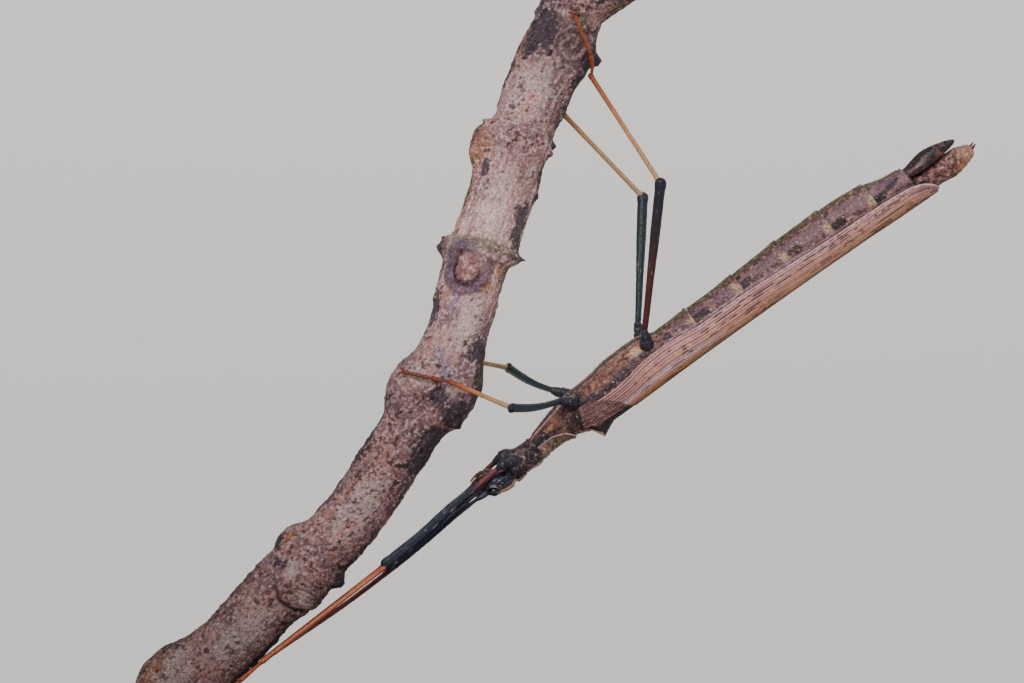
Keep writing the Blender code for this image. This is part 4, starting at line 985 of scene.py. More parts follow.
def socket_rim(points):
    """The raised rim behind each eye, from 0 to 1."""
    rim = np.zeros(points.shape[:-1])
    for side in (1, -1):
        away = points - np.array(mirrored(EYE_PLACE, side))
        distance = np.linalg.norm(away, axis=-1)
        rim = np.maximum(rim, ridge(distance, SOCKET_RADIUS + 0.09, 0.09) * ease((away[..., 0] + 0.2) / 0.3))
    return rim


def fit_under_wings(points, along):
    """Draws in what would stand out through the closed wings."""
    from_waist = np.hypot(points[..., 1], points[..., 2] - WING_WAIST)
    angle = np.degrees(np.arctan2(points[..., 2] - WING_WAIST, np.abs(points[..., 1])))
    room = wing_radius(along, angle) - WING_THICKNESS - WING_CLEARANCE
    tip = 1 - ease((along - WING_TIP - 0.25) / 0.5)
    cover = ease((angle - column(WING_EDGE, along) + 10) / 7) * tip * ease((along - 12.6) / 0.4)
    share = (from_waist + (np.minimum(from_waist, room) - from_waist) * cover) / from_waist
    points[..., 1] *= share
    points[..., 2] = WING_WAIST + (points[..., 2] - WING_WAIST) * share
    return points


def trunk_surface():
    along, folded, angle, waist, radius = ring_grid(trunk_places(), TRUNK_SIDES, TRUNK_RINGS)
    lean = trunk_lean(along)
    points = ring_points(along, angle, waist, radius, lean)
    radius += abdomen_relief(along, folded) + keel_relief(along, folded)
    radius += head_relief(along, folded) + prothorax_relief(along, folded)
    rough = trunk_rough(along)
    radius += 0.035 * rough * layered_noise(points, 0.5, 5) + 0.02 * rough * noise(points, 0.13, 7)
    domes, own = granules(points, 0.36, 31)
    small, _ = granules(points, 0.24, 37)
    parts = (3.6, 4.4, 24, 27, 57, 59)
    radius += 0.085 * domes * (own > 0.45) * np.interp(along, parts, (0.15, 1, 1, 0.5, 0.5, 0.9))
    radius += 0.03 * small * np.interp(along, parts, (0.1, 1, 1, 0.6, 0.6, 1))
    points = carve_sockets(fit_under_wings(ring_points(along, angle, waist, radius, lean), along))
    white = domes * (own > 0.935) * window(along, 4.2, 57, 1)
    tint = coated(trunk_paint(along, folded, points), (WHITE_DOT, ease(white * 2.4 - 1.3) * 0.8),
                  ((208, 184, 176), socket_rim(points) * 0.7))
    return grid_surface(points, tint, trunk_gloss(along, folded) + 0.4 * white)


# Head pieces and tail pieces


def painted_tube(path, radii, sides, paint, relief=None, gloss=0.4, **options):
    """A closed tube whose paint and relief are functions of place, angle and points."""
    count = len(path)
    grid, place, angles = tube_grid(path, spread_values(radii, count), sides, **options)
    place = np.broadcast_to(place[:, None], grid.shape[:2])
    turn = np.broadcast_to(angles[None, :], grid.shape[:2])
    if relief is not None:
        grid = grid + relief(place, turn, grid)[..., None] * grid_normals(grid)
    return grid_surface(grid, paint(place, turn, grid), np.full(grid.shape[:2], gloss))


def mouth_paint(place, turn, points):
    return painted(
        place, DARK_BROWN,
        (BROWN, ease(noise(points, 0.25, 41) * 1.5) * 0.7),
        (BLACK, ease(noise(points, 0.18, 42) * 2 - 0.2) * 0.7),
        ((168, 128, 100), ease(noise(points, 0.12, 43) * 3 - 1.2) * 0.7))


def mouth_relief(place, turn, points):
    return 0.03 * noise(points, 0.16, 44)


def palp_relief(place, turn, points):
    """Three joints, each a little swollen."""
    return 0.03 * np.sin(place * 3 * math.pi) ** 2 - 0.015


def side_path(points, side, count):
    """A smooth path on the right side, or mirrored to the left."""
    return smooth_path([mirrored(point, side) for point in points], count)


def mouth_surfaces():
    """Jaws, upper lip and four palps."""
    palps = [side_path(points, side, 36) for side in (1, -1) for points in PALP_PATHS]
    return [
        painted_tube(smooth_path(JAW_PATH, 40), JAW_RADII, 48, mouth_paint, mouth_relief, gloss=0.6),
        painted_tube(smooth_path(LABRUM_PATH, 24), LABRUM_RADII, 36, mouth_paint, mouth_relief, gloss=0.6,
                     flat=1.1),
        *(painted_tube(path, PALP_RADII, 20, mouth_paint, palp_relief, gloss=0.5) for path in palps),
    ]


def operculum_surface():
    """Boat-shaped plate under the tail, with a keel."""
    places = np.concatenate((np.arange(56.9, 63.7, 0.06), np.linspace(63.7, 63.85, 5)))
    along, folded, angle, waist, radius = ring_grid(places, 110, OPERCULUM_RINGS)
    flat = ring_points(along, angle, waist, radius)
    radius = radius + 0.07 * ridge(np.abs(folded), 90, 7) * (folded < 0) + 0.02 * layered_noise(flat, 0.3, 51)
    radius = radius + 0.04 * ridge(folded, -30 + 6 * (along - 57), 3) * window(along, 57.5, 62, 1)
    points = ring_points(along, angle, waist, radius)
    fine = layered_noise(points, 0.4, 53)
    tint = painted(
        along, (46, 34, 38),
        (RED_BROWN, ease(fine * 1.6 - 0.1) * 0.8),
        (MAUVE, ridge(folded, -25, 7) * window(along, 57.5, 60, 0.8) * 0.7),
        ((128, 96, 82), ease((along - 60.6) / 1.2) * ease(fine * 1.4 + 0.1) * 0.6),
        ((160, 120, 120), ease(layered_noise(points, 0.2, 55) * 2.4 - 1) * 0.6))
    return grid_surface(points, tint, np.full(along.shape, 0.95))


def cercus_paint(place, turn, points):
    return painted(place, RED_BROWN, (BLACK, ease(noise(points, 0.2, 57) + 0.3)))


def cercus_surface(side):
    return painted_tube(side_path(CERCUS_PATH, side, 24), CERCUS_RADII, 24, cercus_paint)


def make_eye(label, side):
    """A ball with a pale streak that faces forward and up."""
    turns = np.linspace(0.02, math.pi - 0.02, 48)
    turn, across = np.meshgrid(turns, 2 * math.pi * np.arange(72) / 72, indexing="ij")
    outward = np.stack((np.cos(turn), np.sin(turn) * np.cos(across), np.sin(turn) * np.sin(across)), axis=-1)
    streak = layered_noise(outward * np.array((1, 0.5, 1)), 0.35, 61)
    pale = ease((outward[..., 0] * 0.62 + outward[..., 2] * 0.62 - 0.6) / 0.12)
    tint = painted(turn, (16, 10, 16), ((88, 62, 78), ease(streak * 2.4 - 0.5) * 0.7),
                   ((204, 178, 184), pale * ease(streak * 2 + 0.9) * 0.85))
    points = np.array(mirrored(EYE_PLACE, side)) + outward * EYE_RADIUS
    surface = grid_surface(points, tint, np.ones(turn.shape))
    finish_piece(make_object(f"eye_lens_{label}", moved(surface, INSECT)), EYE, "eye_lens", f"eye_{label}")


def scape_paint(place, turn, points):
    return painted(place, BLUE_BLACK, (SLATE, ease(noise(points, 0.3, 71) + 0.5) * 0.8))


def flagellum_paint(place, turn, points):
    joint = place * ANTENNA_JOINTS % 1
    return painted(place, BLUE_BLACK, (FLAGELLUM_RED, ease((place - 0.22) / 0.2)),
                   (BLACK, ease((joint - 0.86) / 0.08) * 0.6))


def flagellum_relief(place, turn, points):
    """Each joint widens to its far end."""
    joint = place * ANTENNA_JOINTS % 1
    return 0.022 * joint**2 - 0.03 * ridge(joint, 1, 0.035) - 0.03 * ridge(joint, 0, 0.035)


def make_feeler(label, side):
    """Base joint and long jointed flagellum of one feeler."""
    base = painted_tube(side_path(SCAPE_PATH, side, 40), SCAPE_RADII, 40, scape_paint, gloss=0.7)
    flagellum = painted_tube(side_path(ANTENNA_PATH, side, 900), ANTENNA_RADII, 16, flagellum_paint,
                             flagellum_relief, gloss=0.5)
    feeler = fused(f"feeler_{label}", [moved(base, INSECT), moved(flagellum, INSECT)])
    finish_piece(feeler, CHITIN, "dark_chitin", f"antenna_base_{label}", f"antenna_{label}")


# Stem surface, on which the feet stand


PERCH_ROWS = path_rows(PERCH_AXIS)
PERCH_LENGTH = PERCH_ROWS[-1, 0]


def perch_axes(along):
    """Directions of the stem here: up its length, towards -Y and to its right."""
    ahead = smooth_rows(PERCH_ROWS, np.minimum(along + 0.6, PERCH_LENGTH))
    ahead = unit(ahead - smooth_rows(PERCH_ROWS, np.maximum(along - 0.6, 0)))
    front = unit(np.array((0, -1, 0)) - ahead * (-ahead[..., 1])[..., None])
    return ahead, front, np.cross(ahead, front)


def turn_between(degrees, middle):
    """The turn from middle to degrees, from -180 to 180."""
    return (degrees - middle + 180) % 360 - 180


def near_angle(degrees, middle, spread):
    """1 at the middle angle, falling softly to 0 on both sides of it."""
    return ridge(turn_between(degrees, middle), 0, spread)


def facing(degrees, middle, spread):
    """1 at the middle angle, and 0 where the turn to it is the spread or more."""
    return ease(1 - np.abs(turn_between(degrees, middle)) / spread)


def perch_radius(along, degrees):
    radius = PERCH_RADIUS
    for middle, angle, height, length, spread in KNOTS:
        share = 1 if spread >= 180 else facing(degrees, angle, spread)
        radius = radius + height * share * np.exp(-(np.abs((along - middle) / length) ** KNOT_POWER))
    return radius


def perch_point(along, degrees, lift=0):
    """Points on the stem's surface, or lifted off it, in world millimetres."""
    _, front, right = perch_axes(along)
    angle = np.radians(degrees)
    reach = perch_radius(along, degrees) + lift
    outward = front * np.cos(angle)[..., None] + right * np.sin(angle)[..., None]
    return smooth_rows(PERCH_ROWS, along) + outward * np.asarray(reach)[..., None]


# Legs


def tarsus_points(kind, label, share, lift=0):
    """Points along the foot, which stands off the stem's surface."""
    leg = LEGS[kind]
    start_along, start_angle = leg[f"ankle_{label}"]
    end_along, end_angle = leg[f"toe_{label}"]
    share = np.asarray(share, dtype=float)
    reach = TARSUS_LIFT + leg["ankle_lift"] * (1 - share) ** 2 + lift
    return perch_point(start_along + (end_along - start_along) * share,
                       start_angle + (end_angle - start_angle) * share, reach)


def gradient_paint(rows, grain, seed):
    """A paint that runs through the colours of rows, each a place from 0 to 1 and a colour."""
    table = [(place, *srgb(colour)) for place, colour in rows]

    def paint(place, turn, points):
        tint = smooth_rows(table, place)
        return tint * (1 + grain * layered_noise(points, 0.4, seed))[..., None]

    return paint


def femur_paint(kind, label):
    if kind == "fore":
        base = (120, 58, 62) if label == "right" else (114, 58, 56)
        rows = ((0, base), (0.12, base), (0.24, (54, 40, 58)), (0.34, BLUE_BLACK), (1, BLUE_BLACK))
    elif kind == "hind" and label == "right":
        rows = ((0, BLACK), (0.08, (90, 34, 32)), (0.45, (74, 34, 36)), (0.7, (44, 34, 42)),
                (1, (34, 36, 50)))
    else:
        rows = ((0, BLACK), (0.1, GREEN_BLACK), (0.9, GREEN_BLACK), (1, (36, 40, 58)))
    shade = gradient_paint(rows, 0.35, 81)
    scarcity = 2.7 if kind == "fore" else 3.6

    def paint(place, turn, points):
        around = np.stack((place * 17, 2.8 * np.cos(turn), 2.8 * np.sin(turn)), axis=-1)
        flecks = ease(noise(around, 1, 89) * 5 - scarcity + 0.8 * noise(points, 0.2, 90))
        flecks = flecks * window(place, 0.22, 0.96, 0.08)
        return coated(shade(place, turn, points), ((176, 164, 158), flecks * 0.7))

    return paint


def tibia_paint(kind, label):
    if kind == "fore":
        rows = ((0, (170, 86, 60)), (0.15, (196, 118, 84)), (0.5, TIBIA_ORANGE), (1, (168, 88, 60)))
    elif label == "left":
        rows = ((0, STRAW), (0.5, (206, 164, 116)), (1, (190, 136, 92)))
    else:
        rows = ((0, (214, 174, 128)), (0.4, (210, 158, 108)), (0.75, (192, 118, 76)),
                (1, (160, 84, 58)))
    return gradient_paint(rows, 0.15, 83)


def femur_relief(place, turn, points):
    """Four long keels with small teeth along the upper and lower ones, and scratched faces."""
    keels = np.cos(2 * turn) ** 8 * 0.05
    teeth = 0.035 * np.maximum(0, np.sin(place * 150)) * ridge(np.abs(np.cos(turn)), 1, 0.05)
    end = 0.06 * ease((place - 0.95) / 0.04) * np.abs(np.sin(turn))
    return keels + teeth + end + 0.018 * noise(points, 0.22, 85) - 0.02


def tibia_relief(place, turn, points):
    knee = 0.05 * ridge(place, 0.03, 0.02)
    ankle = 0.045 * ease((place - 0.96) / 0.04)
    return knee + ankle + 0.03 * np.cos(2 * turn) ** 6 + 0.008 * noise(points, 0.15, 87) - 0.015


def coxa_paint(place, turn, points):
    grain = noise(points, 0.3, 93)
    return painted(
        place, (46, 44, 54),
        (SLATE, ease(noise(points, 0.35, 91) * 1.5 - 0.1) * 0.6),
        ((104, 84, 92), ease(noise(points, 0.16, 92) * 2.6 - 0.9) * 0.55),
        ((26, 30, 34), ease(grain * 1.8 - 0.1) * 0.75),
        ((84, 62, 60), ease((0.34 - place) / 0.2 + 0.5 * grain) * 0.85),
        (WHITE_DOT, ease(noise(points, 0.11, 95) * 3.6 - 2.5) * 0.6))


def coxa_relief(place, turn, points):
    domes, _ = granules(points, 0.34, 97)
    fold = 0.04 * ridge(place, 0.62, 0.06) - 0.06 * ridge(place, 0.7, 0.035) + 0.03 * ridge(place, 0.86, 0.07)
    return fold + 0.03 * domes + 0.04 * noise(points, 0.45, 99)


def tarsus_profile(share):
    """Radius along the foot: five joints, each widening to a soft pad at its far end."""
    ends = np.cumsum((0, *TARSUS_SHARES))
    number = np.clip(np.searchsorted(ends, share) - 1, 0, len(TARSUS_SHARES) - 1)
    within = (share - ends[number]) / (ends[number + 1] - ends[number])
    return 0.155 + 0.1 * ease(within * 1.15) - 0.07 * ease((within - 0.93) / 0.07), within


def make_foot_paint(colour):
    """A paint whose joints darken at their far ends."""

    def paint(place, turn, points):
        _, within = tarsus_profile(place)
        return painted(place, colour, ((92, 34, 24), ease((within - 0.86) / 0.08) * 0.75))

    return paint


def leg_surfaces(kind, label, side):
    """The closed surfaces of one leg in the world, from its hip to its foot."""
    leg = LEGS[kind]
    hip = insect_to_world(mirrored(leg["femur_start"], side))
    coxa = [insect_to_world(mirrored(point, side)) for point in leg["coxa"]]
    bends = [insect_to_world(point) for point in leg.get(f"femur_bend_{label}", ())]
    knee = np.array(insect_to_world(leg[f"knee_{label}"]) if kind == "fore" else leg[f"knee_{label}"])
    femur = smooth_path([hip, *bends, knee], 230)
    femur[:, 2] -= leg.get("sag", 0) * np.sin(np.linspace(0, math.pi, len(femur)))
    ankle = tarsus_points(kind, label, 0)
    shin = unit(ankle - knee)
    tibia = smooth_path((knee + shin * 0.1, ankle + shin * 0.05), 220)
    share = np.linspace(0, 1, 120)
    foot_paint = make_foot_paint((136, 66, 50) if kind == "mid" else (164, 88, 58))
    return [
        painted_tube(smooth_path([*coxa, hip], 46), leg["coxa_radii"], 56, coxa_paint, coxa_relief,
                     side_axis=RIGHT_SIDE, gloss=0.45),
        painted_tube(femur, leg["femur_radii"], 52, femur_paint(kind, label), femur_relief, flat=leg["flat"],
                     side_axis=RIGHT_SIDE, gloss=0.55),
        painted_tube(tibia, leg["tibia_radii"], 28, tibia_paint(kind, label), tibia_relief,
                     side_axis=RIGHT_SIDE, gloss=0.55),
        painted_tube(tarsus_points(kind, label, share), tarsus_profile(share)[0], 24, foot_paint, gloss=0.5),
    ]


def claw_paint(place, turn, points):
    return painted(place, (120, 46, 30), (BLACK, ease((place - 0.35) / 0.4)))


def lobe_paint(place, turn, points):
    return painted(place, (190, 110, 80))


def make_claws(kind, label):
    """Two curved claws with a soft lobe between them."""
    end = tarsus_points(kind, label, 1)
    ahead = unit(end - tarsus_points(kind, label, 0.94))
    away = unit(tarsus_points(kind, label, 1, 1) - end)
    beside = np.cross(ahead, away)
    pieces = []
    for turn in (-1, 1):
        out = (ahead * math.cos(CLAW_SPREAD) + beside * math.sin(CLAW_SPREAD) * turn) * CLAW_LENGTH
        path = (end, end + out * 0.35 + away * 0.14, end + out * 0.75 + away * 0.1, end + out - away * 0.16)
        pieces.append(painted_tube(smooth_path(path, 28), CLAW_RADII, 16, claw_paint, gloss=0.9,
                                   side_axis=RIGHT_SIDE))
    lobe = smooth_path((end, end + ahead * 0.28 - away * 0.05), 12)
    pieces.append(painted_tube(lobe, (0.13, 0.15), 20, lobe_paint, gloss=0.3))
    finish_piece(fused(f"claws_{kind}_{label}", pieces), CHITIN, "tarsus_chitin")


def make_skin():
    """One closed skin: trunk, mouth, tail pieces and all six legs."""
    own = [trunk_surface(), *mouth_surfaces(), operculum_surface(), cercus_surface(1), cercus_surface(-1)]
    surfaces = [moved(surface, INSECT) for surface in own]
    for label, side in SIDES:
        for kind in LEGS:
            surfaces += leg_surfaces(kind, label, side)
    bones = [f"{kind}_{bone}_{label}" for label in ("left", "right") for kind in LEGS
             for bone in ("coxa", "femur", "tibia", "tarsus")]
    finish_piece(fused("insect_skin", surfaces), CHITIN, "brown_chitin",
                 "head", "prothorax", "mesothorax", "metathorax", "abdomen_front", "abdomen_middle",
                 "abdomen_rear", "operculum", "anal_segments", "cercus_left", "cercus_right", *bones)


# Wings


def wing_shell(along, degrees, lift, ridges):
    """Outer and inner points of a thin wing that lies on the body."""
    rows, columns = (np.minimum(np.arange(count), np.arange(count)[::-1]) for count in along.shape)
    inwards = ease(np.minimum(rows[:, None] / 5, columns[None, :] / 4))
    thickness = WING_RIM_THICKNESS + (WING_THICKNESS - WING_RIM_THICKNESS) * inwards
    inner = wing_radius(along, degrees) + lift - WING_THICKNESS
    angle = np.radians(degrees)
    outer = inner + thickness + ridges * inwards
    return [ring_points(along, angle, WING_WAIST, radius) for radius in (outer, inner)]


def make_wing(name, node, slot, shell, tint, gloss, side):
    """A wing from its outer and inner points, mirrored for the left side."""
    for points in shell:
        points[..., 1] *= side
    surface = vane_surface(*shell, tint, np.full(tint.shape[:2], gloss), side < 0)
    finish_piece(make_object(name, moved(surface, INSECT)), WING, slot, node)


def nearest_vein(share, width):
    """The strip a place is in, the vein nearest to it, and its distance past that vein in millimetres."""
    veins = np.array((0, *WING_VEINS, 1))
    number = np.clip(np.searchsorted(veins, share) - 1, 0, len(veins) - 2)
    nearest = np.where(share - veins[number] < veins[number + 1] - share, number, number + 1)
    return number, nearest, (share - veins[nearest]) * width


def strip_noise(number, along, size, seed):
    """Random values that run along each strip on their own."""
    points = np.stack((along / size, number * 7.31, np.full(along.shape, 0.5)), axis=-1)
    return noise(points, 1, seed)


def hindwing_grid():
    """Place along and angle of each point of the wing, its share of the wing's width, and the wing's root."""
    root_edge = column(WING_EDGE, WING_ROOT)
    share_line = np.sort(np.concatenate((np.linspace(0, 1, WING_COLUMNS), WING_VEINS)))
    t, share = np.meshgrid(np.linspace(0, 1, WING_LENGTHS), share_line, indexing="ij")
    root = column(TEGMEN_REAR, root_edge + (WING_TOP_ANGLE - root_edge) * share) - WING_TUCK
    along = root + (WING_TIP - root) * t
    edge = column(WING_EDGE, along)
    degrees = edge + (WING_TOP_ANGLE - edge) * share
    return share, root, along, edge, degrees


def hindwing_paint(along, share, points):
    """Broad colours of the wing, in bands along it."""
    broad = layered_noise(points, 1.6, 101)
    fine = layered_noise(points, 0.3, 103)
    front = 1 - ease((along - 27) / 8)
    tint = painted(
        along, (232, 172, 152),
        ((222, 168, 160), window(share, -0.1, 0.13, 0.04)),
        ((222, 150, 118), window(share, 0.28, 0.36, 0.04) * 0.8),
        ((186, 126, 118), ease(broad * 1.5 + 0.1) * 0.45),
        ((150, 104, 98), (1 - ease((along - 18) / 6)) * (share < 0.36) * 0.75),
        ((236, 192, 184), window(share, 0.37, 0.5, 0.03) * front * 0.95),
        ((174, 150, 172), ridge(share, 0.36, 0.012) * front * 0.8),
        ((206, 144, 92), window(share, 0.35, 0.57, 0.04) * (1 - front) * 0.85),
        ((188, 132, 84), ease((share - 0.51 - 0.04 * (1 - front)) / 0.04)),
        ((122, 78, 56), ease((share - 0.66) / 0.05) * 0.9),
        (DARK_BROWN, ease((share - 0.82) / 0.08) * 0.75),
        ((206, 158, 146), ease((along - 56) / 2.5) * 0.55))
    return tint * (1.16 + 0.3 * fine)[..., None]


def hindwing_dashes(along, share, nearest, past):
    """Black dashes on the veins, which crowd on some of them and towards the tip."""
    dash = strip_noise(nearest, along, 1.6, 107) + 0.5 * strip_noise(nearest, along, 0.5, 109)
    often = np.interp(share, *zip(*DASH_CROWDS)) * np.interp(along, (17, 24, 36, 60), (0.5, 0.7, 1, 1.1))
    return ease((dash - 0.66 + often) / 0.14) * ridge(past, 0.03, 0.13)


def make_hindwing(label, side):
    """A closed wing with raised main veins, cross veins between them and a net at its root."""
    share, root, along, edge, degrees = hindwing_grid()
    width = wing_radius(along, degrees) * np.radians(WING_TOP_ANGLE - edge)
    number, nearest, past = nearest_vein(share, width)
    past = past + 0.022 * strip_noise(nearest, along, 2.2, 119)
    is_vein = (nearest > 0) & (nearest <= len(WING_VEINS))
    is_main = np.isin(nearest, MAIN_VEINS)
    vein = ridge(past, 0, VEIN_HALF_WIDTH) * is_vein
    netted = (1 - ease((along - 21 - 3 * (share < 0.2)) / 3)) * (1 - ease((share - 0.3) / 0.06))
    cells = 1 - ease(net(share * width / 0.26, along / 0.34, 111) / 0.2)
    offset = lattice(np.stack((number, number * 0, number * 0), axis=-1), 113)
    step = along / CROSS_SPACING + offset + 0.35 * strip_noise(number, along, 0.9, 115)
    cross = ridge(step % 1, 0.5, 0.12) * (1 - vein)
    cross = np.maximum(cross * (1 - netted), cells * netted)
    ridges = np.where(is_main, VEIN_HEIGHT, VEIN_HEIGHT * 0.5) * vein + 0.03 * cross
    ridges = ridges + 0.012 * noise(plane_points(along, share * 6), 0.2, 117)
    lift = -WING_TUCK_DEPTH * (1 - ease((along - root - WING_TUCK + 0.35) / 0.45))
    shell = wing_shell(along, degrees, lift, ridges)
    dotted = ease(strip_noise(nearest, along, 0.2, 105) * 3 + 0.6)
    # Pale lines on both sides of each vein: painted highlights along the raised veins.
    pale = ridge(past, 0.085, 0.035) + ridge(past, -0.085, 0.035)
    costal = window(share, 0.36, 0.5, 0.03)
    ladder = ridge((step + 0.28) % 1, 0.5, 0.14) * (1 - netted) * costal * (1 - ease((along - 29) / 6))
    rim = share * width
    tint = coated(
        hindwing_paint(along, share, shell[0]),
        # Painted highlights beside the veins
        ((240, 200, 188), pale * is_vein * (share < 0.62) * np.where(is_main, 0.6, 0.35)),
        ((66, 34, 36), ridge(past, 0, 0.04) * is_vein * np.where(is_main, 0.85, 0.65 * dotted)),
        ((118, 66, 66), ladder * 0.6),
        ((250, 232, 226), cross * costal * 0.7),
        ((92, 48, 46), cross * (1 - costal) * np.where(netted > 0.3, 0.55, 0.35) * (share < 0.7)),
        ((214, 164, 130), cross * window(share, 0.56, 0.8, 0.05) * 0.4),
        ((34, 22, 26), hindwing_dashes(along, share, nearest, past) * is_vein * 0.92),
        ((244, 214, 204), ridge(rim, 0.04, 0.05) * 0.75),
        (BLACK, ridge(rim, 0.14, 0.035) * dotted * 0.8))
    make_wing(f"hindwing_vane_{label}", f"hindwing_{label}", "wing_membrane", shell, tint, 0.45, side)


def hump(along, degrees):
    """Height of the tegmen's shoulder above the folded wing."""
    reach = np.where(along < HUMP_ALONG, HUMP_REACH_FRONT, HUMP_REACH_REAR)
    lengthwise = np.maximum(0, 1 - np.abs(along - HUMP_ALONG) / reach) ** HUMP_SLOPE
    across = np.exp(-(((degrees - HUMP_ANGLE) / HUMP_SPREAD) ** 2))
    return HUMP_HEIGHT * lengthwise * across


def make_tegmen(label, side):
    """A short fore wing with a net of fine veins, a pale crest and a dark shoulder."""
    t, share = np.meshgrid(np.linspace(0, 1, TEGMEN_LENGTHS), np.linspace(0, 1, TEGMEN_COLUMNS),
                           indexing="ij")
    degrees = TEGMEN_LOW_ANGLE + (WING_TOP_ANGLE - TEGMEN_LOW_ANGLE) * share
    rise = wing_radius(np.full(degrees.shape, TEGMEN_FRONT), degrees) * np.sin(np.radians(degrees))
    front = TEGMEN_FRONT + PLEURAL_LEAN * rise
    along = front + (column(TEGMEN_REAR, degrees) - front) * t
    across = degrees * 0.045
    flat = plane_points(along, across)
    bend = across + 0.25 * noise(flat, 1.2, 121)
    mesh_vein = 1 - ease(net(bend / 0.21, along / 0.28, 123) / 0.2)
    main = np.minimum(sum(ridge(share, vein + 0.1 * vein * (t - 0.5), 0.006) for vein in TEGMEN_VEINS), 1)
    shell = wing_shell(along, degrees, hump(along, degrees), 0.045 * mesh_vein + 0.06 * main)
    fine = layered_noise(shell[0], 0.35, 125)
    broad = layered_noise(shell[0], 1, 127)
    dark = window(degrees, 40, 100, 20) * window(along, 13.5, 20, 0.8)
    olive = window(degrees, 78, 100, 8) * ease((along - 15.4) / 0.8)
    crest = ease((degrees - 50) / 5) * window(along, 12.3, HUMP_ALONG + 0.05, 0.12)
    rim = ease((0.3 - (along - front)) / 0.15) * window(degrees, 40, 76, 10)
    tint = painted(
        along, (88, 58, 60),
        ((140, 98, 94), ease(broad * 1.8 + 0.1)),
        ((46, 28, 32), ease(fine * 1.8 + 0.15) * 0.65),
        ((214, 168, 154), mesh_vein * 0.72),
        ((222, 180, 166), main * ease(noise(flat, 0.3, 129) * 2.4 + 0.5) * 0.6),
        (BLACK, ease(dark * 1.5 + 0.4 * fine - 0.2) * 0.93),
        ((150, 120, 76), olive * 0.85),
        ((246, 206, 160), np.maximum(crest * 0.95, rim * 0.9)),
        (BLACK, ease((0.36 - (along - front)) / 0.14) * window(degrees, -34, 46, 10) * 0.85))
    make_wing(f"tegmen_vane_{label}", f"tegmen_{label}", "tegmen_membrane", shell, tint, 0.4, side)


# Stem

# Millimetres of bark to one degree round the stem
DEGREE_WIDTH = 0.0576
# Patches of bark: along, angle, half length, half spread
DARK_PATCHES = (
    (92.6, -38, 4, 46), (91, 75, 4, 30), (80, 96, 9, 30), (72.6, 66, 3.4, 22), (58.2, 50, 1.7, 24),
    (55.5, 82, 4, 26), (52.1, 14, 1.2, 22), (58, 96, 1.6, 16), (51.2, 52, 2, 34), (46.5, 55, 4, 40),
    (44, -84, 4.5, 22), (31, 84, 6, 30), (19, 84, 9, 26), (28.6, -74, 1.4, 18), (27.2, -40, 0.7, 24),
    (60.8, -70, 2, 16), (76.8, -44, 1.3, 9), (87.5, -88, 5, 18), (68, -92, 4, 14), (40, 160, 6, 50),
    (74, 190, 7, 50), (14, 170, 5, 50),
)
PALE_PATCHES = (
    (85.6, -8, 3.4, 46), (73.6, 8, 4.6, 40), (60.4, 16, 3.6, 26), (53.2, -30, 1.2, 26), (53.4, 26, 1.2, 16),
    (37, 0, 5, 34), (19, 8, 5, 34), (26.6, 38, 1.2, 20), (10, -20, 3, 26), (12, -50, 2.2, 15),
    (27.8, -14, 1.4, 16), (84, 150, 6, 40), (56, 200, 6, 40), (26, 210, 6, 40),
)
ORANGE_PATCHES = (
    (78.6, -76, 3.6, 30), (73, -72, 5, 16), (47.8, -84, 1, 14), (29.6, -62, 1.2, 10), (9, -76, 4.5, 30),
    (66, 52, 1.4, 9), (64.6, 24, 0.8, 30), (90, -72, 4, 12), (20, -72, 5, 14),
)
LICHEN_PATCHES = (
    (69, 10, 0.7, 90), (66.5, 76, 3, 22), (62, 96, 5, 16), (75, -96, 6, 14), (94.6, 24, 1.6, 24),
    (38, -98, 9, 16), (29.4, -98, 3, 20), (16, -98, 5, 20), (50, 96, 3, 14), (27.4, 88, 1.4, 14),
)
SALMON_PATCHES = (
    (84.5, -4, 2, 18), (75.4, 22, 3.6, 18), (62.5, -44, 2.6, 12), (43, -12, 2.6, 12), (36, -38, 2.8, 13),
    (34, 6, 2.4, 12), (23, -6, 2.6, 14), (13, 16, 2.6, 12),
)
LILAC_PATCHES = ((54.6, 10, 1.7, 20), (56.2, -16, 1.2, 14), (62, -26, 2, 12))
# Round scars: along, angle, radius. The stem is thicker there than its plain radius by this factor.
SCARS = ((66.1, -18, 3), (92.4, 27, 2.2))
SCAR_SWELLING = 1.12
# Arc of the crease under the lowest bulge: angle, along
CREASE = ((-60, 27.6), (-23, 25.6), (11, 24.5), (34, 24.7), (90, 26), (120, 27))
# Its middle's angle, and its half spread
CREASE_FRONT = (34, 62)
# Brightness of the bark up the stem: along, factor. The rise round 62 to 76 along is a painted highlight.
BARK_BRIGHTNESS_AND_HIGHLIGHT = (
    (0, 0.46), (12, 0.44), (24, 0.52), (36, 0.7), (48, 0.7), (56, 0.96), (62, 1.08), (72, 1.28), (80, 0.98),
    (87, 1), (91, 0.76), (103, 0.92),
)
# How thick the dark specks lie: along, crowd
SPECK_CROWDS = (
    (0, 0.6), (20, 0.68), (44, 0.85), (50, 0.78), (58, 0.6), (72, 0.46), (84, 0.78), (89, 0.76), (103, 0.66),
)
# Small pegs and broken scales: along, angle, height, half length, half spread
PEGS = (
    (30.3, 84, 0.2, 0.55, 12), (81.6, 92, 0.3, 0.45, 10), (80.6, 78, 0.25, 0.45, 9),
    (92.1, 95, 0.45, 0.65, 10), (48.5, -88, 0.2, 0.6, 9), (67.3, -94, 0.22, 0.55, 12),
    (67.4, -86, 0.22, 0.35, 10), (68.2, 93, 0.14, 0.55, 10), (81.8, -82, 0.3, 0.25, 14),
    (50, 72, 0.35, 0.6, 14), (94.6, -96, 0.25, 0.5, 14), (76, 94, 0.2, 0.4, 9),
)


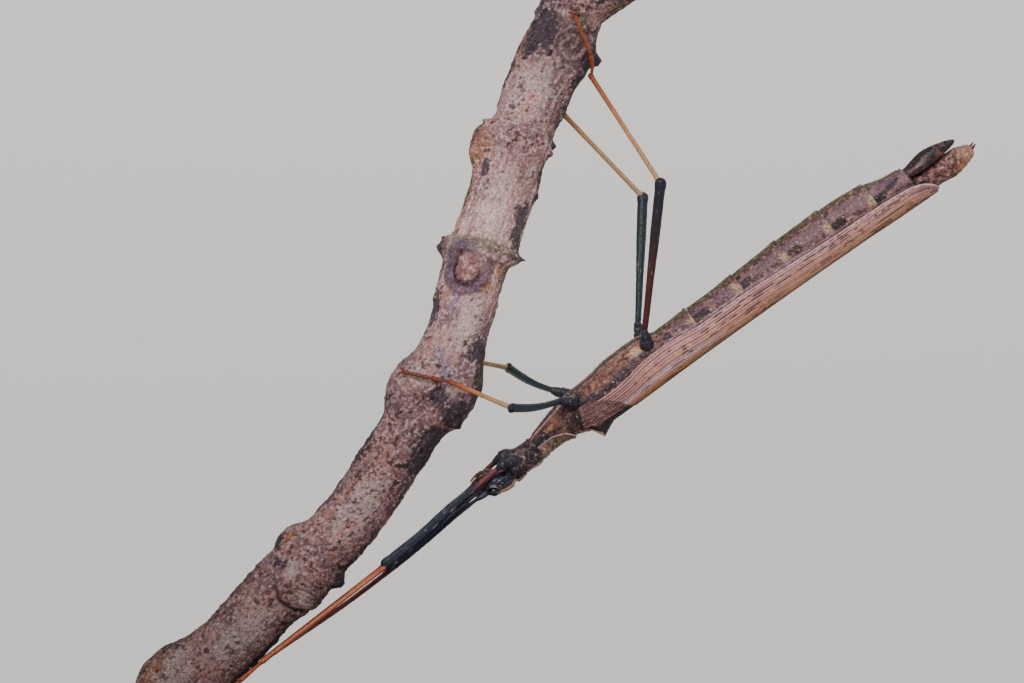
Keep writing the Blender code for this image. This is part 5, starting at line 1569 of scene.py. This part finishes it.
def patch_mask(patches, along, degrees, ragged):
    """Where ragged-edged patches lie, from 0 to 1."""
    mask = np.zeros(along.shape)
    for middle, angle, length, spread in patches:
        reach = np.exp(-(((along - middle) / length) ** 2) - (turn_between(degrees, angle) / spread) ** 2)
        mask = np.maximum(mask, ease((reach - 0.34 + 0.55 * ragged) / 0.34))
    return mask


def scar_place(scar, along, degrees):
    """Distance from a scar's middle as a share of its radius, and the direction there in degrees from up."""
    middle, angle, radius = scar
    across = np.radians(turn_between(degrees, angle)) * PERCH_RADIUS * SCAR_SWELLING
    return np.hypot(along - middle, across) / radius, np.degrees(np.arctan2(across, along - middle))


def crease_distance(along, degrees):
    """Distance above the crease's arc, in millimetres."""
    return along - np.interp(turn_between(degrees, 30) + 30, *zip(*CREASE))


def stem_relief(along, degrees, points):
    """Height of the bark over the stem's plain outline: grain, swellings, scars, crease and pegs."""
    relief = 0.1 * layered_noise(points, 2.2, 131) + 0.07 * layered_noise(points, 0.7, 133)
    relief += 0.05 * noise(points, 0.24, 135)
    relief += 0.06 * noise(plane_points(degrees * DEGREE_WIDTH / 0.28, along / 2.4), 1, 137)
    domes, own = granules(points, 0.8, 139, radius=0.24)
    relief += 0.09 * domes * (own > 0.6)
    edge = ease((np.abs(turn_between(degrees, 0)) - 60) / 25)
    relief += 0.14 * edge * np.maximum(0, noise(points, 0.9, 149) + 0.4 * noise(points, 0.35, 150))
    relief += 0.25 * ridge(along, 79, 2) * facing(degrees, -90, 50)
    relief += facing(degrees, 95, 50) * (0.5 * window(along, 68, 78, 3) + 0.34 * window(along, 84, 97, 4)
                                         - 0.22 * window(along, 59.5, 65.5, 3))
    collar = ridge(along, 68.6 + 0.35 * np.cos(np.radians(degrees)) + 0.15 * noise(points, 0.8, 148), 0.26)
    relief += collar * (0.32 + 0.26 * noise(points, 0.5, 141))
    torn = ridge(along, 81.7 + 0.25 * noise(points, 1, 143), 0.22)
    relief += 0.24 * torn * near_angle(degrees, -70, 46)
    bend = 0.12 * noise(points, 0.9, 144) + 0.05 * noise(points, 0.35, 146)
    first, first_way = scar_place(SCARS[0], along, degrees)
    first = first + bend
    closed = 1 - 0.7 * near_angle(first_way, 50, 40)
    relief += closed * (0.26 * ridge(first, 0.86, 0.15) - 0.32 * ridge(first, 0.56, 0.13))
    relief += 0.2 * ridge(first, 0, 0.42) * (1 + 1.2 * noise(points, 0.5, 145))
    second, second_way = scar_place(SCARS[1], along, degrees)
    second = second + 1.5 * bend
    rings = np.cos(second * 15 + np.radians(second_way)) * (second < 1.02)
    relief += 0.07 * rings + 0.12 * ridge(second, 1, 0.1) - 0.14 * ridge(second, 0.2, 0.2)
    above = crease_distance(along, degrees)
    front = near_angle(degrees, *CREASE_FRONT)
    relief += front * (0.28 * ridge(above, 0.75, 0.7) - 0.42 * ridge(above, 0, 0.24))
    wrinkles = np.cos(above * 12 + 3 * noise(points, 1.2, 152)) * window(above, 0.4, 4.4, 1)
    relief += 0.055 * front * wrinkles
    ledge = ease((along - 49.8) / 0.35) * (1 - ease((along - 50.2) / 2.4))
    relief += 0.34 * near_angle(degrees, 66, 34) * ledge
    for middle, angle, height, length, spread in PEGS:
        reach = ((along - middle) / length) ** 2 + (turn_between(degrees, angle) / spread) ** 2
        relief += height * np.exp(-(reach**1.5)) * (1 + 0.5 * noise(points, 0.3, 147))
    return relief


def bark_paint(along, degrees, points, relief):
    broad = layered_noise(points, 3.2, 151)
    middle = layered_noise(points, 0.9, 153)
    fine = layered_noise(points, 0.24, 155, 2)
    flecks = layered_noise(points, 0.3, 157, 2)
    strands = noise(plane_points(degrees * DEGREE_WIDTH / 0.32, along / 2.6), 1, 159)
    ragged = 0.7 * middle + 0.5 * fine
    low = 1 - ease((along - 46) / 10)
    pale, orange, lilac, salmon, dark, lichen = (
        patch_mask(patches, along, degrees, ragged) for patches in
        (PALE_PATCHES, ORANGE_PATCHES, LILAC_PATCHES, SALMON_PATCHES, DARK_PATCHES, LICHEN_PATCHES))
    # Towards the stem's sides as seen from the front: lichen, and painted shade that darkens the bark and
    # thins its pale flecks.
    far = ease((np.abs(turn_between(degrees, 0)) - 50) / 32)
    crowd = column(SPECK_CROWDS, along)
    # Pale flecks, fewer on dark patches and thinned by the painted shade towards the sides.
    bright = ease((-fine * 1.6 - flecks * 0.5 - 0.34) / 0.3) * 0.8 * (1 - 0.85 * dark) * (1 - 0.55 * far)
    first, first_way = scar_place(SCARS[0], along, degrees)
    first = first + 0.16 * middle
    closed = 1 - 0.75 * near_angle(first_way, 50, 40)
    second, second_way = scar_place(SCARS[1], along, degrees)
    second = second + 0.22 * middle + 0.08 * fine
    inside = ease((1.04 - second) / 0.1)
    swirl = ease(np.cos(second * 15 + np.radians(second_way)) * 1.2 - 0.3 + 0.8 * fine)
    above = crease_distance(along, degrees)
    # Darker where the bark lies below its plain outline: painted shade in the hollows.
    hollow_shade = ease((-relief - 0.08) / 0.22)
    tint = painted(
        along, BARK_PINK,
        (BARK_MAUVE, ease(broad * 1.7 + 0.35 + 0.5 * fine) * 0.8),
        (BARK_RED, ease(middle * 1.9 - 0.1 + 0.5 * fine) * 0.75),
        ((112, 84, 82), ease(-middle * 2.2 - 0.25 + 0.6 * fine + 0.3 * low) * (0.35 + 0.3 * low)),
        (BARK_PALE, ease(strands * 1.8 - 0.1 + 0.6 * middle) * 0.6 * window(along, 55, 91, 5)),
        (BARK_PALE, pale * 0.7),
        (BARK_ORANGE, orange * 0.65),
        (LILAC, lilac * 0.7),
        (BARK_SALMON, salmon * ease(0.6 + 1.2 * strands + 0.6 * fine) * 0.85),
        (BARK_DARK, dark * 0.9),
        (LICHEN, lichen * 0.75),
        (LICHEN, far * ease(middle * 1.8 + 0.1) * 0.6),
        # Painted shade towards the stem's sides
        (BARK_DARK, far * ease(broad * 1.4 + 0.4 + 0.6 * fine) * 0.8),
        (BARK_SPECK, ease((flecks * 1.2 + 0.5 * fine + 0.7 * middle - 0.82 + crowd * 0.75) / 0.5) * 0.8),
        ((232, 210, 200), bright),
        ((92, 76, 86), window(first, 0.5, 1, 0.2) * closed * ease(0.95 + 0.6 * middle) * 0.9),
        ((160, 140, 150), window(first, 0.6, 1, 0.12) * closed * ease(fine * 2.2 + 0.5 * middle) * 0.6),
        ((166, 114, 110), ease((0.56 - first) / 0.1) * 0.8),
        ((96, 66, 70), ease((0.5 - first) / 0.1) * ease(-fine * 2.2 - 0.3) * 0.7),
        (BARK_PALE, ease((0.5 - first) / 0.1) * ease(fine * 2.2 + 0.1) * 0.85),
        # Black on one side of the scar's sunken ring: painted shade in the hollow.
        (BLACK, ridge(first, 0.56, 0.08) * near_angle(first_way, -120, 60) * 0.9),
        ((92, 74, 80), inside * 0.7),
        ((212, 178, 164), inside * swirl * 0.75),
        # Black along the crease's groove: painted shade.
        (BLACK, ridge(above, 0, 0.2) * near_angle(degrees, *CREASE_FRONT) * 0.8),
        # Painted shade in the bark's hollows
        (BARK_SPECK, hollow_shade * 0.65))
    # Brightness up the stem, with its painted highlight round 72 along.
    return tint * column(BARK_BRIGHTNESS_AND_HIGHLIGHT, along)[..., None]


def end_rings(rim):
    """Rings from a cut's rim inwards, with pale wood, growth rings and a dark pith."""
    shares = np.linspace(0.985, 0.01, 42)
    centre = rim.mean(axis=0)
    rings = centre + (rim - centre)[None] * shares[:, None, None]
    depth = np.broadcast_to(shares[:, None], rings.shape[:2])
    wood = painted(
        depth, WOOD_PALE,
        (WOOD_DARK, ease(np.sin(depth * 30 + noise(rings, 0.7, 161)) * 1.2 - 0.2) * 0.6),
        ((92, 64, 46), ease((depth - 0.9) / 0.03)),
        ((120, 86, 56), ease((0.1 - depth) / 0.03)))
    return rings, wood


def stem_tube(along, degrees, points, relief, cut_start):
    """A closed stem from its grid of surface points, with a cut at its end and perhaps at its start."""
    parts = [(points, bark_paint(along, degrees, points, relief)), end_rings(points[-1])]
    if cut_start:
        rings, wood = end_rings(points[0])
        parts.insert(0, (rings[::-1], wood[::-1]))
    grid, tint = (np.concatenate(part) for part in zip(*parts))
    return grid_surface(grid, tint, np.full(grid.shape[:2], 0.1))


def make_stem():
    """The cut stem and its side shoot."""
    turns = 360 * np.arange(STEM_SIDES) / STEM_SIDES
    along, degrees = np.meshgrid(np.arange(0, PERCH_LENGTH, STEM_STEP), turns, indexing="ij")
    relief = stem_relief(along, degrees, perch_point(along, degrees))
    trunk = stem_tube(along, degrees, perch_point(along, degrees, relief), relief, True)
    path = smooth_path(SHOOT_PATH, SHOOT_RINGS)
    radii = spread_values(SHOOT_RADII, SHOOT_RINGS)
    grid, place, _ = tube_grid(path, radii, SHOOT_SIDES, ends=(False, False))
    place, turn = np.meshgrid(place, np.linspace(0, 360, SHOOT_SIDES, endpoint=False), indexing="ij")
    relief = 0.1 * layered_noise(grid, 1.6, 163) + 0.05 * layered_noise(grid, 0.5, 165)
    grid = grid + relief[..., None] * grid_normals(grid)
    shoot = stem_tube(place * SHOOT_LENGTH + SHOOT_BARK_START, turn, grid, relief, False)
    finish_piece(fused("cut_stem", [trunk, shoot]), BARK, "bark",
                 "perch_lower", "perch_middle", "perch_upper", "perch_side_shoot")


# Display stand


def circle_rings(profile, sides):
    """A ring of points round Z for each radius and height."""
    turns = 2 * math.pi * np.arange(sides) / sides
    return np.array([[(r * math.cos(a), r * math.sin(a), z) for a in turns] for r, z in profile])


def board_profile():
    """Insets from the board's side and heights, from its underside to the middle of its top."""
    low_turns = np.linspace(0.15, math.pi / 2, 8)
    high_turns = np.linspace(0.1, math.pi / 2, 14)
    bead = [(0.55 - 0.55 * math.cos(a), 4.6 + 0.75 * math.sin(a)) for a in low_turns]
    cove = [(0.95 + 2.1 * (1 - math.cos(a)), 5.75 + 2.25 * math.sin(a)) for a in high_turns]
    return [(0.5, 0), (0.12, 0.12), (0, 0.5), (0, 4.6), *bead, (0.95, 5.4), (0.95, 5.75), *cove,
            (8, BASE_HEIGHT), (20, BASE_HEIGHT), (BASE_WIDTH / 2 - 0.4, BASE_HEIGHT)]


def board_ring(inset, height):
    """One ring of the board: rounded corners joined by straight sides."""
    radius = max(BASE_CORNER - inset, 0.12)
    x = BASE_LENGTH / 2 - inset - radius
    y = BASE_WIDTH / 2 - inset - radius
    turns = np.linspace(0, math.pi / 2, 13) + np.arange(4)[:, None] * math.pi / 2
    corners = np.array(((x, y), (-x, y), (-x, -y), (x, -y)))[:, None]
    arcs = corners + radius * np.stack((np.cos(turns), np.sin(turns)), axis=-1)
    between = np.linspace(0, 1, 26)[1:-1, None]
    ring = []
    for arc, after in zip(arcs, np.roll(arcs, -1, axis=0)):
        ring += [*arc, *(arc[-1] + (after[0] - arc[-1]) * between)]
    return [(*point, height) for point in ring]


def finish_stand_piece(name, points, colour, material, slot, node):
    """A hard piece from rings of points, whose edges stay sharp."""
    surface = grid_surface(points, painted(points[..., 0], colour), np.full(points.shape[:2], 0.5))
    piece = make_object(name, surface)
    finish_piece(piece, material, slot, node)
    piece.data.set_sharp_from_angle(angle=math.radians(35))


def make_stand():
    """A wooden board with a moulded edge and a steel rod that holds the stem from below."""
    board = np.array([board_ring(inset, height) for inset, height in board_profile()])
    finish_stand_piece("stand_board", board, BROWN, board_material(), "base_wood", "stand_base")
    top = perch_point(np.array(ROD_ALONG), np.array(90))[2] + ROD_SINK
    rod = [*ROD_FOOT, *((ROD_RADIUS, height) for height in np.linspace(10.4, top, 60))]
    post = circle_rings(rod, 64) + np.array((ROD_X, ROD_Y, 0))
    finish_stand_piece("stand_post", post, SLATE, steel_material(), "rod_steel", "stand_rod")


# Materials


class Look:
    """A procedural material in the making. Its place is the object's own coordinates in millimetres."""

    def __init__(self, name):
        self.material = bpy.data.materials.new(name)
        self.material.use_nodes = True
        self.tree = self.material.node_tree
        self.shader = self.tree.nodes["Principled BSDF"]
        self.place = self.times(self.add("TexCoord", {}, "Object"), (1000, 1000, 1000))

    def give(self, made, inputs):
        """Gives a node's inputs numbers, colours or other nodes' outputs."""
        for key, value in inputs.items():
            if isinstance(value, bpy.types.NodeSocket):
                self.tree.links.new(value, made.inputs[key])
            else:
                made.inputs[key].default_value = value

    def add(self, kind, inputs, output=0, **settings):
        """An output of a new node."""
        made = self.tree.nodes.new(f"ShaderNode{kind}")
        for key, value in settings.items():
            setattr(made, key, value)
        self.give(made, inputs)
        return made.outputs[output]

    def attribute(self, name, output):
        return self.add("Attribute", {}, output, attribute_name=name)

    def times(self, first, second):
        return self.add("VectorMath", {0: first, 1: second}, operation="MULTIPLY")

    def maths(self, operation, first, second):
        return self.add("Math", {0: first, 1: second}, operation=operation)

    def noise(self, place, size, detail=3, roughness=0.55):
        """Noise whose bumps are about size millimetres across."""
        inputs = {"Vector": place, "Scale": 1 / size, "Detail": detail, "Roughness": roughness}
        return self.add("TexNoise", inputs, "Fac")

    def cells(self, scale):
        return self.add("TexVoronoi", {"Vector": self.place, "Scale": scale}, "Distance")

    def carried(self, value, low, high, to_low, to_high):
        """A value carried from one range into another."""
        return self.add("MapRange", {"Value": value, "From Min": low, "From Max": high, "To Min": to_low,
                                     "To Max": to_high}, "Result")

    def finish(self, colour, roughness, height, strength, depth, **values):
        """The material, with its colour, roughness, relief in millimetres and the shader's other values."""
        relief = self.add("Bump", {"Height": height, "Strength": strength, "Distance": depth * MM}, "Normal")
        self.give(self.shader, {"Base Color": colour, "Roughness": roughness, "Normal": relief})
        self.give(self.shader, {key.replace("_", " "): value for key, value in values.items()})
        return self.material


def painted_material(name, speckle, speckle_size, specks, rough, smooth, bump, bump_size, specular):
    """Surface paint with soft speckles, crisp dark and pale specks, uneven gloss and fine relief."""
    look = Look(name)
    grain = look.noise(look.place, speckle_size)
    fine = look.noise(look.place, bump_size, 4, 0.6)
    crisp = look.noise(look.place, speckle_size * 0.8, 2, 0.5)
    dark = look.carried(crisp, 0.57, 0.64, 1, 1 - specks)
    pale = look.carried(crisp, 0.34, 0.41, 1 + specks * 0.7, 1)
    shade = look.maths("MULTIPLY", look.carried(grain, 0.3, 0.7, 1 - speckle, 1 + speckle),
                       look.maths("MULTIPLY", dark, pale))
    gloss = look.carried(look.attribute("gloss", "Fac"), 0, 1, rough, smooth)
    pits = look.maths("MULTIPLY", look.cells(1 / (bump_size * 1.6)), 0.6)
    return look.finish(look.times(look.attribute("tint", "Color"), shade),
                       look.maths("ADD", gloss, look.carried(fine, 0.3, 0.7, -0.08, 0.08)),
                       look.maths("ADD", fine, pits), 0.7, bump, Specular_IOR_Level=specular)


def eye_material():
    """Fine facets under a thin polished coat."""
    look = Look("eye_look")
    facets = look.cells(24)
    shade = look.carried(facets, 0, 0.6, 1.15, 0.75)
    return look.finish(look.times(look.attribute("tint", "Color"), shade),
                       look.carried(facets, 0, 0.6, 0.22, 0.34), facets, 0.25, 0.004,
                       Specular_IOR_Level=0.4, Coat_Weight=0.3, Coat_Roughness=0.06)


def board_material():
    """Dark wood with its grain along X."""
    look = Look("board_look")
    stretched = look.times(look.place, (0.06, 1, 1))
    grain = look.noise(stretched, 1.6, 6, 0.65)
    bands = look.noise(stretched, 7, 2, 0.4)
    pores = look.noise(stretched, 0.35, 2, 0.5)
    shade = look.maths("ADD", look.maths("MULTIPLY", grain, 0.6), look.maths("MULTIPLY", bands, 0.4))
    colour = look.add("ValToRGB", {"Fac": shade}, "Color")
    stops = ((0.34, (58, 34, 22)), (0.66, (122, 78, 48)))
    for element, (position, wood) in zip(colour.node.color_ramp.elements, stops):
        element.position = position
        element.color = (*srgb(wood), 1)
    dark = look.carried(pores, 0.56, 0.66, 1, 0.6)
    return look.finish(look.times(colour, dark), look.carried(grain, 0.3, 0.7, 0.32, 0.5), dark, 0.5, 0.05)


def steel_material():
    """Steel brushed round the rod."""
    look = Look("steel_look")
    brushed = look.noise(look.times(look.place, (1, 1, 14)), 1, 4, 0.6)
    steel = look.add("RGB", {})
    steel.default_value = (*srgb((168, 166, 164)), 1)
    return look.finish(look.times(steel, look.carried(brushed, 0.3, 0.7, 0.85, 1.1)),
                       look.carried(brushed, 0.3, 0.7, 0.22, 0.42), brushed, 0.3, 0.01, Metallic=1)


CHITIN = painted_material("chitin", speckle=0.28, speckle_size=0.2, specks=0.25, rough=0.66, smooth=0.26,
                          bump=0.035, bump_size=0.11, specular=0.32)
WING = painted_material("wing_membrane_look", speckle=0.14, speckle_size=0.14, specks=0.12, rough=0.62,
                        smooth=0.34, bump=0.02, bump_size=0.09, specular=0.35)
BARK = painted_material("bark_look", speckle=0.3, speckle_size=0.26, specks=0.42, rough=0.94, smooth=0.64,
                        bump=0.14, bump_size=0.2, specular=0.25)
EYE = eye_material()


# Stage, light and camera

# Floor, in metres: radii of its flat part, then length and height of the curve round it, and its top's height
FLOOR_RADII = (0.05, 0.4, 0.9, 1.4, 1.8)
FLOOR_CURVE = (1.2, 0.9)
FLOOR_TOP = 1.1
FLOOR_SIDES = 96


def make_stage():
    """A wide pale floor that curves up far away, so that no horizon shows."""
    length, height = FLOOR_CURVE
    edge = FLOOR_RADII[-1]
    turns = np.linspace(0, math.pi / 2, 24)[1:]
    profile = [(radius, 0) for radius in FLOOR_RADII]
    profile += [(edge + length * math.sin(t), height * (1 - math.cos(t))) for t in turns]
    profile.append((edge + length, FLOOR_TOP))
    index = np.arange(len(profile) * FLOOR_SIDES).reshape(-1, FLOOR_SIDES)
    beside = np.roll(index, -1, axis=1)
    quads = np.stack((index[:-1], index[1:], beside[1:], beside[:-1]), axis=-1).reshape(-1, 4)
    mesh = bpy.data.meshes.new("floor")
    points = circle_rings(profile, FLOOR_SIDES).reshape(-1, 3)
    mesh.from_pydata(points, [], [list(range(FLOOR_SIDES)), *quads.tolist()])
    mesh.shade_smooth()
    look = Look("floor_look")
    look.give(look.shader, {"Base Color": (0.72, 0.7, 0.67, 1), "Roughness": 0.9})
    mesh.materials.append(look.material)
    floor = add_to_scene("floor", mesh)


def add_sun(name, source, spread, energy, colour):
    """A soft light from far away, from the side where source lies."""
    light = bpy.data.lights.new(name, "SUN")
    light.angle = math.radians(spread)
    light.energy = energy
    light.color = colour
    lamp = add_to_scene(name, light)
    lamp.rotation_euler = Vector(source).to_track_quat("Z", "Y").to_euler()


def make_lights():
    add_sun("key", (-0.3, -1, 0.75), 24, 2.3, (1, 0.98, 0.95))
    add_sun("fill", (0.9, -0.5, 0.6), 50, 0.6, (0.95, 0.97, 1))
    add_sun("rear", (0.3, 1, 0.9), 40, 0.85, (1, 1, 1))
    world = bpy.data.worlds.new("studio")
    world.use_nodes = True
    background = world.node_tree.nodes["Background"]
    background.inputs["Color"].default_value = (0.95, 0.97, 1, 1)
    background.inputs["Strength"].default_value = 0.45
    bpy.context.scene.world = world


def make_camera():
    camera = bpy.data.cameras.new("camera")
    camera.sensor_width = SENSOR
    camera.lens = SENSOR * -CAMERA_PLACE[1] / FRAME_WIDTH
    camera.clip_start = 0.01
    camera.clip_end = 20
    thing = add_to_scene("camera", camera)
    thing.location = Vector(CAMERA_PLACE) * MM
    thing.rotation_euler = (math.pi / 2, 0, 0)
    bpy.context.scene.camera = thing


make_camera()
make_stage()
make_lights()
make_skin()
for label, side in SIDES:
    make_eye(label, side)
    make_feeler(label, side)
    make_hindwing(label, side)
    make_tegmen(label, side)
    for kind in LEGS:
        make_claws(kind, label)
make_stem()
make_stand()
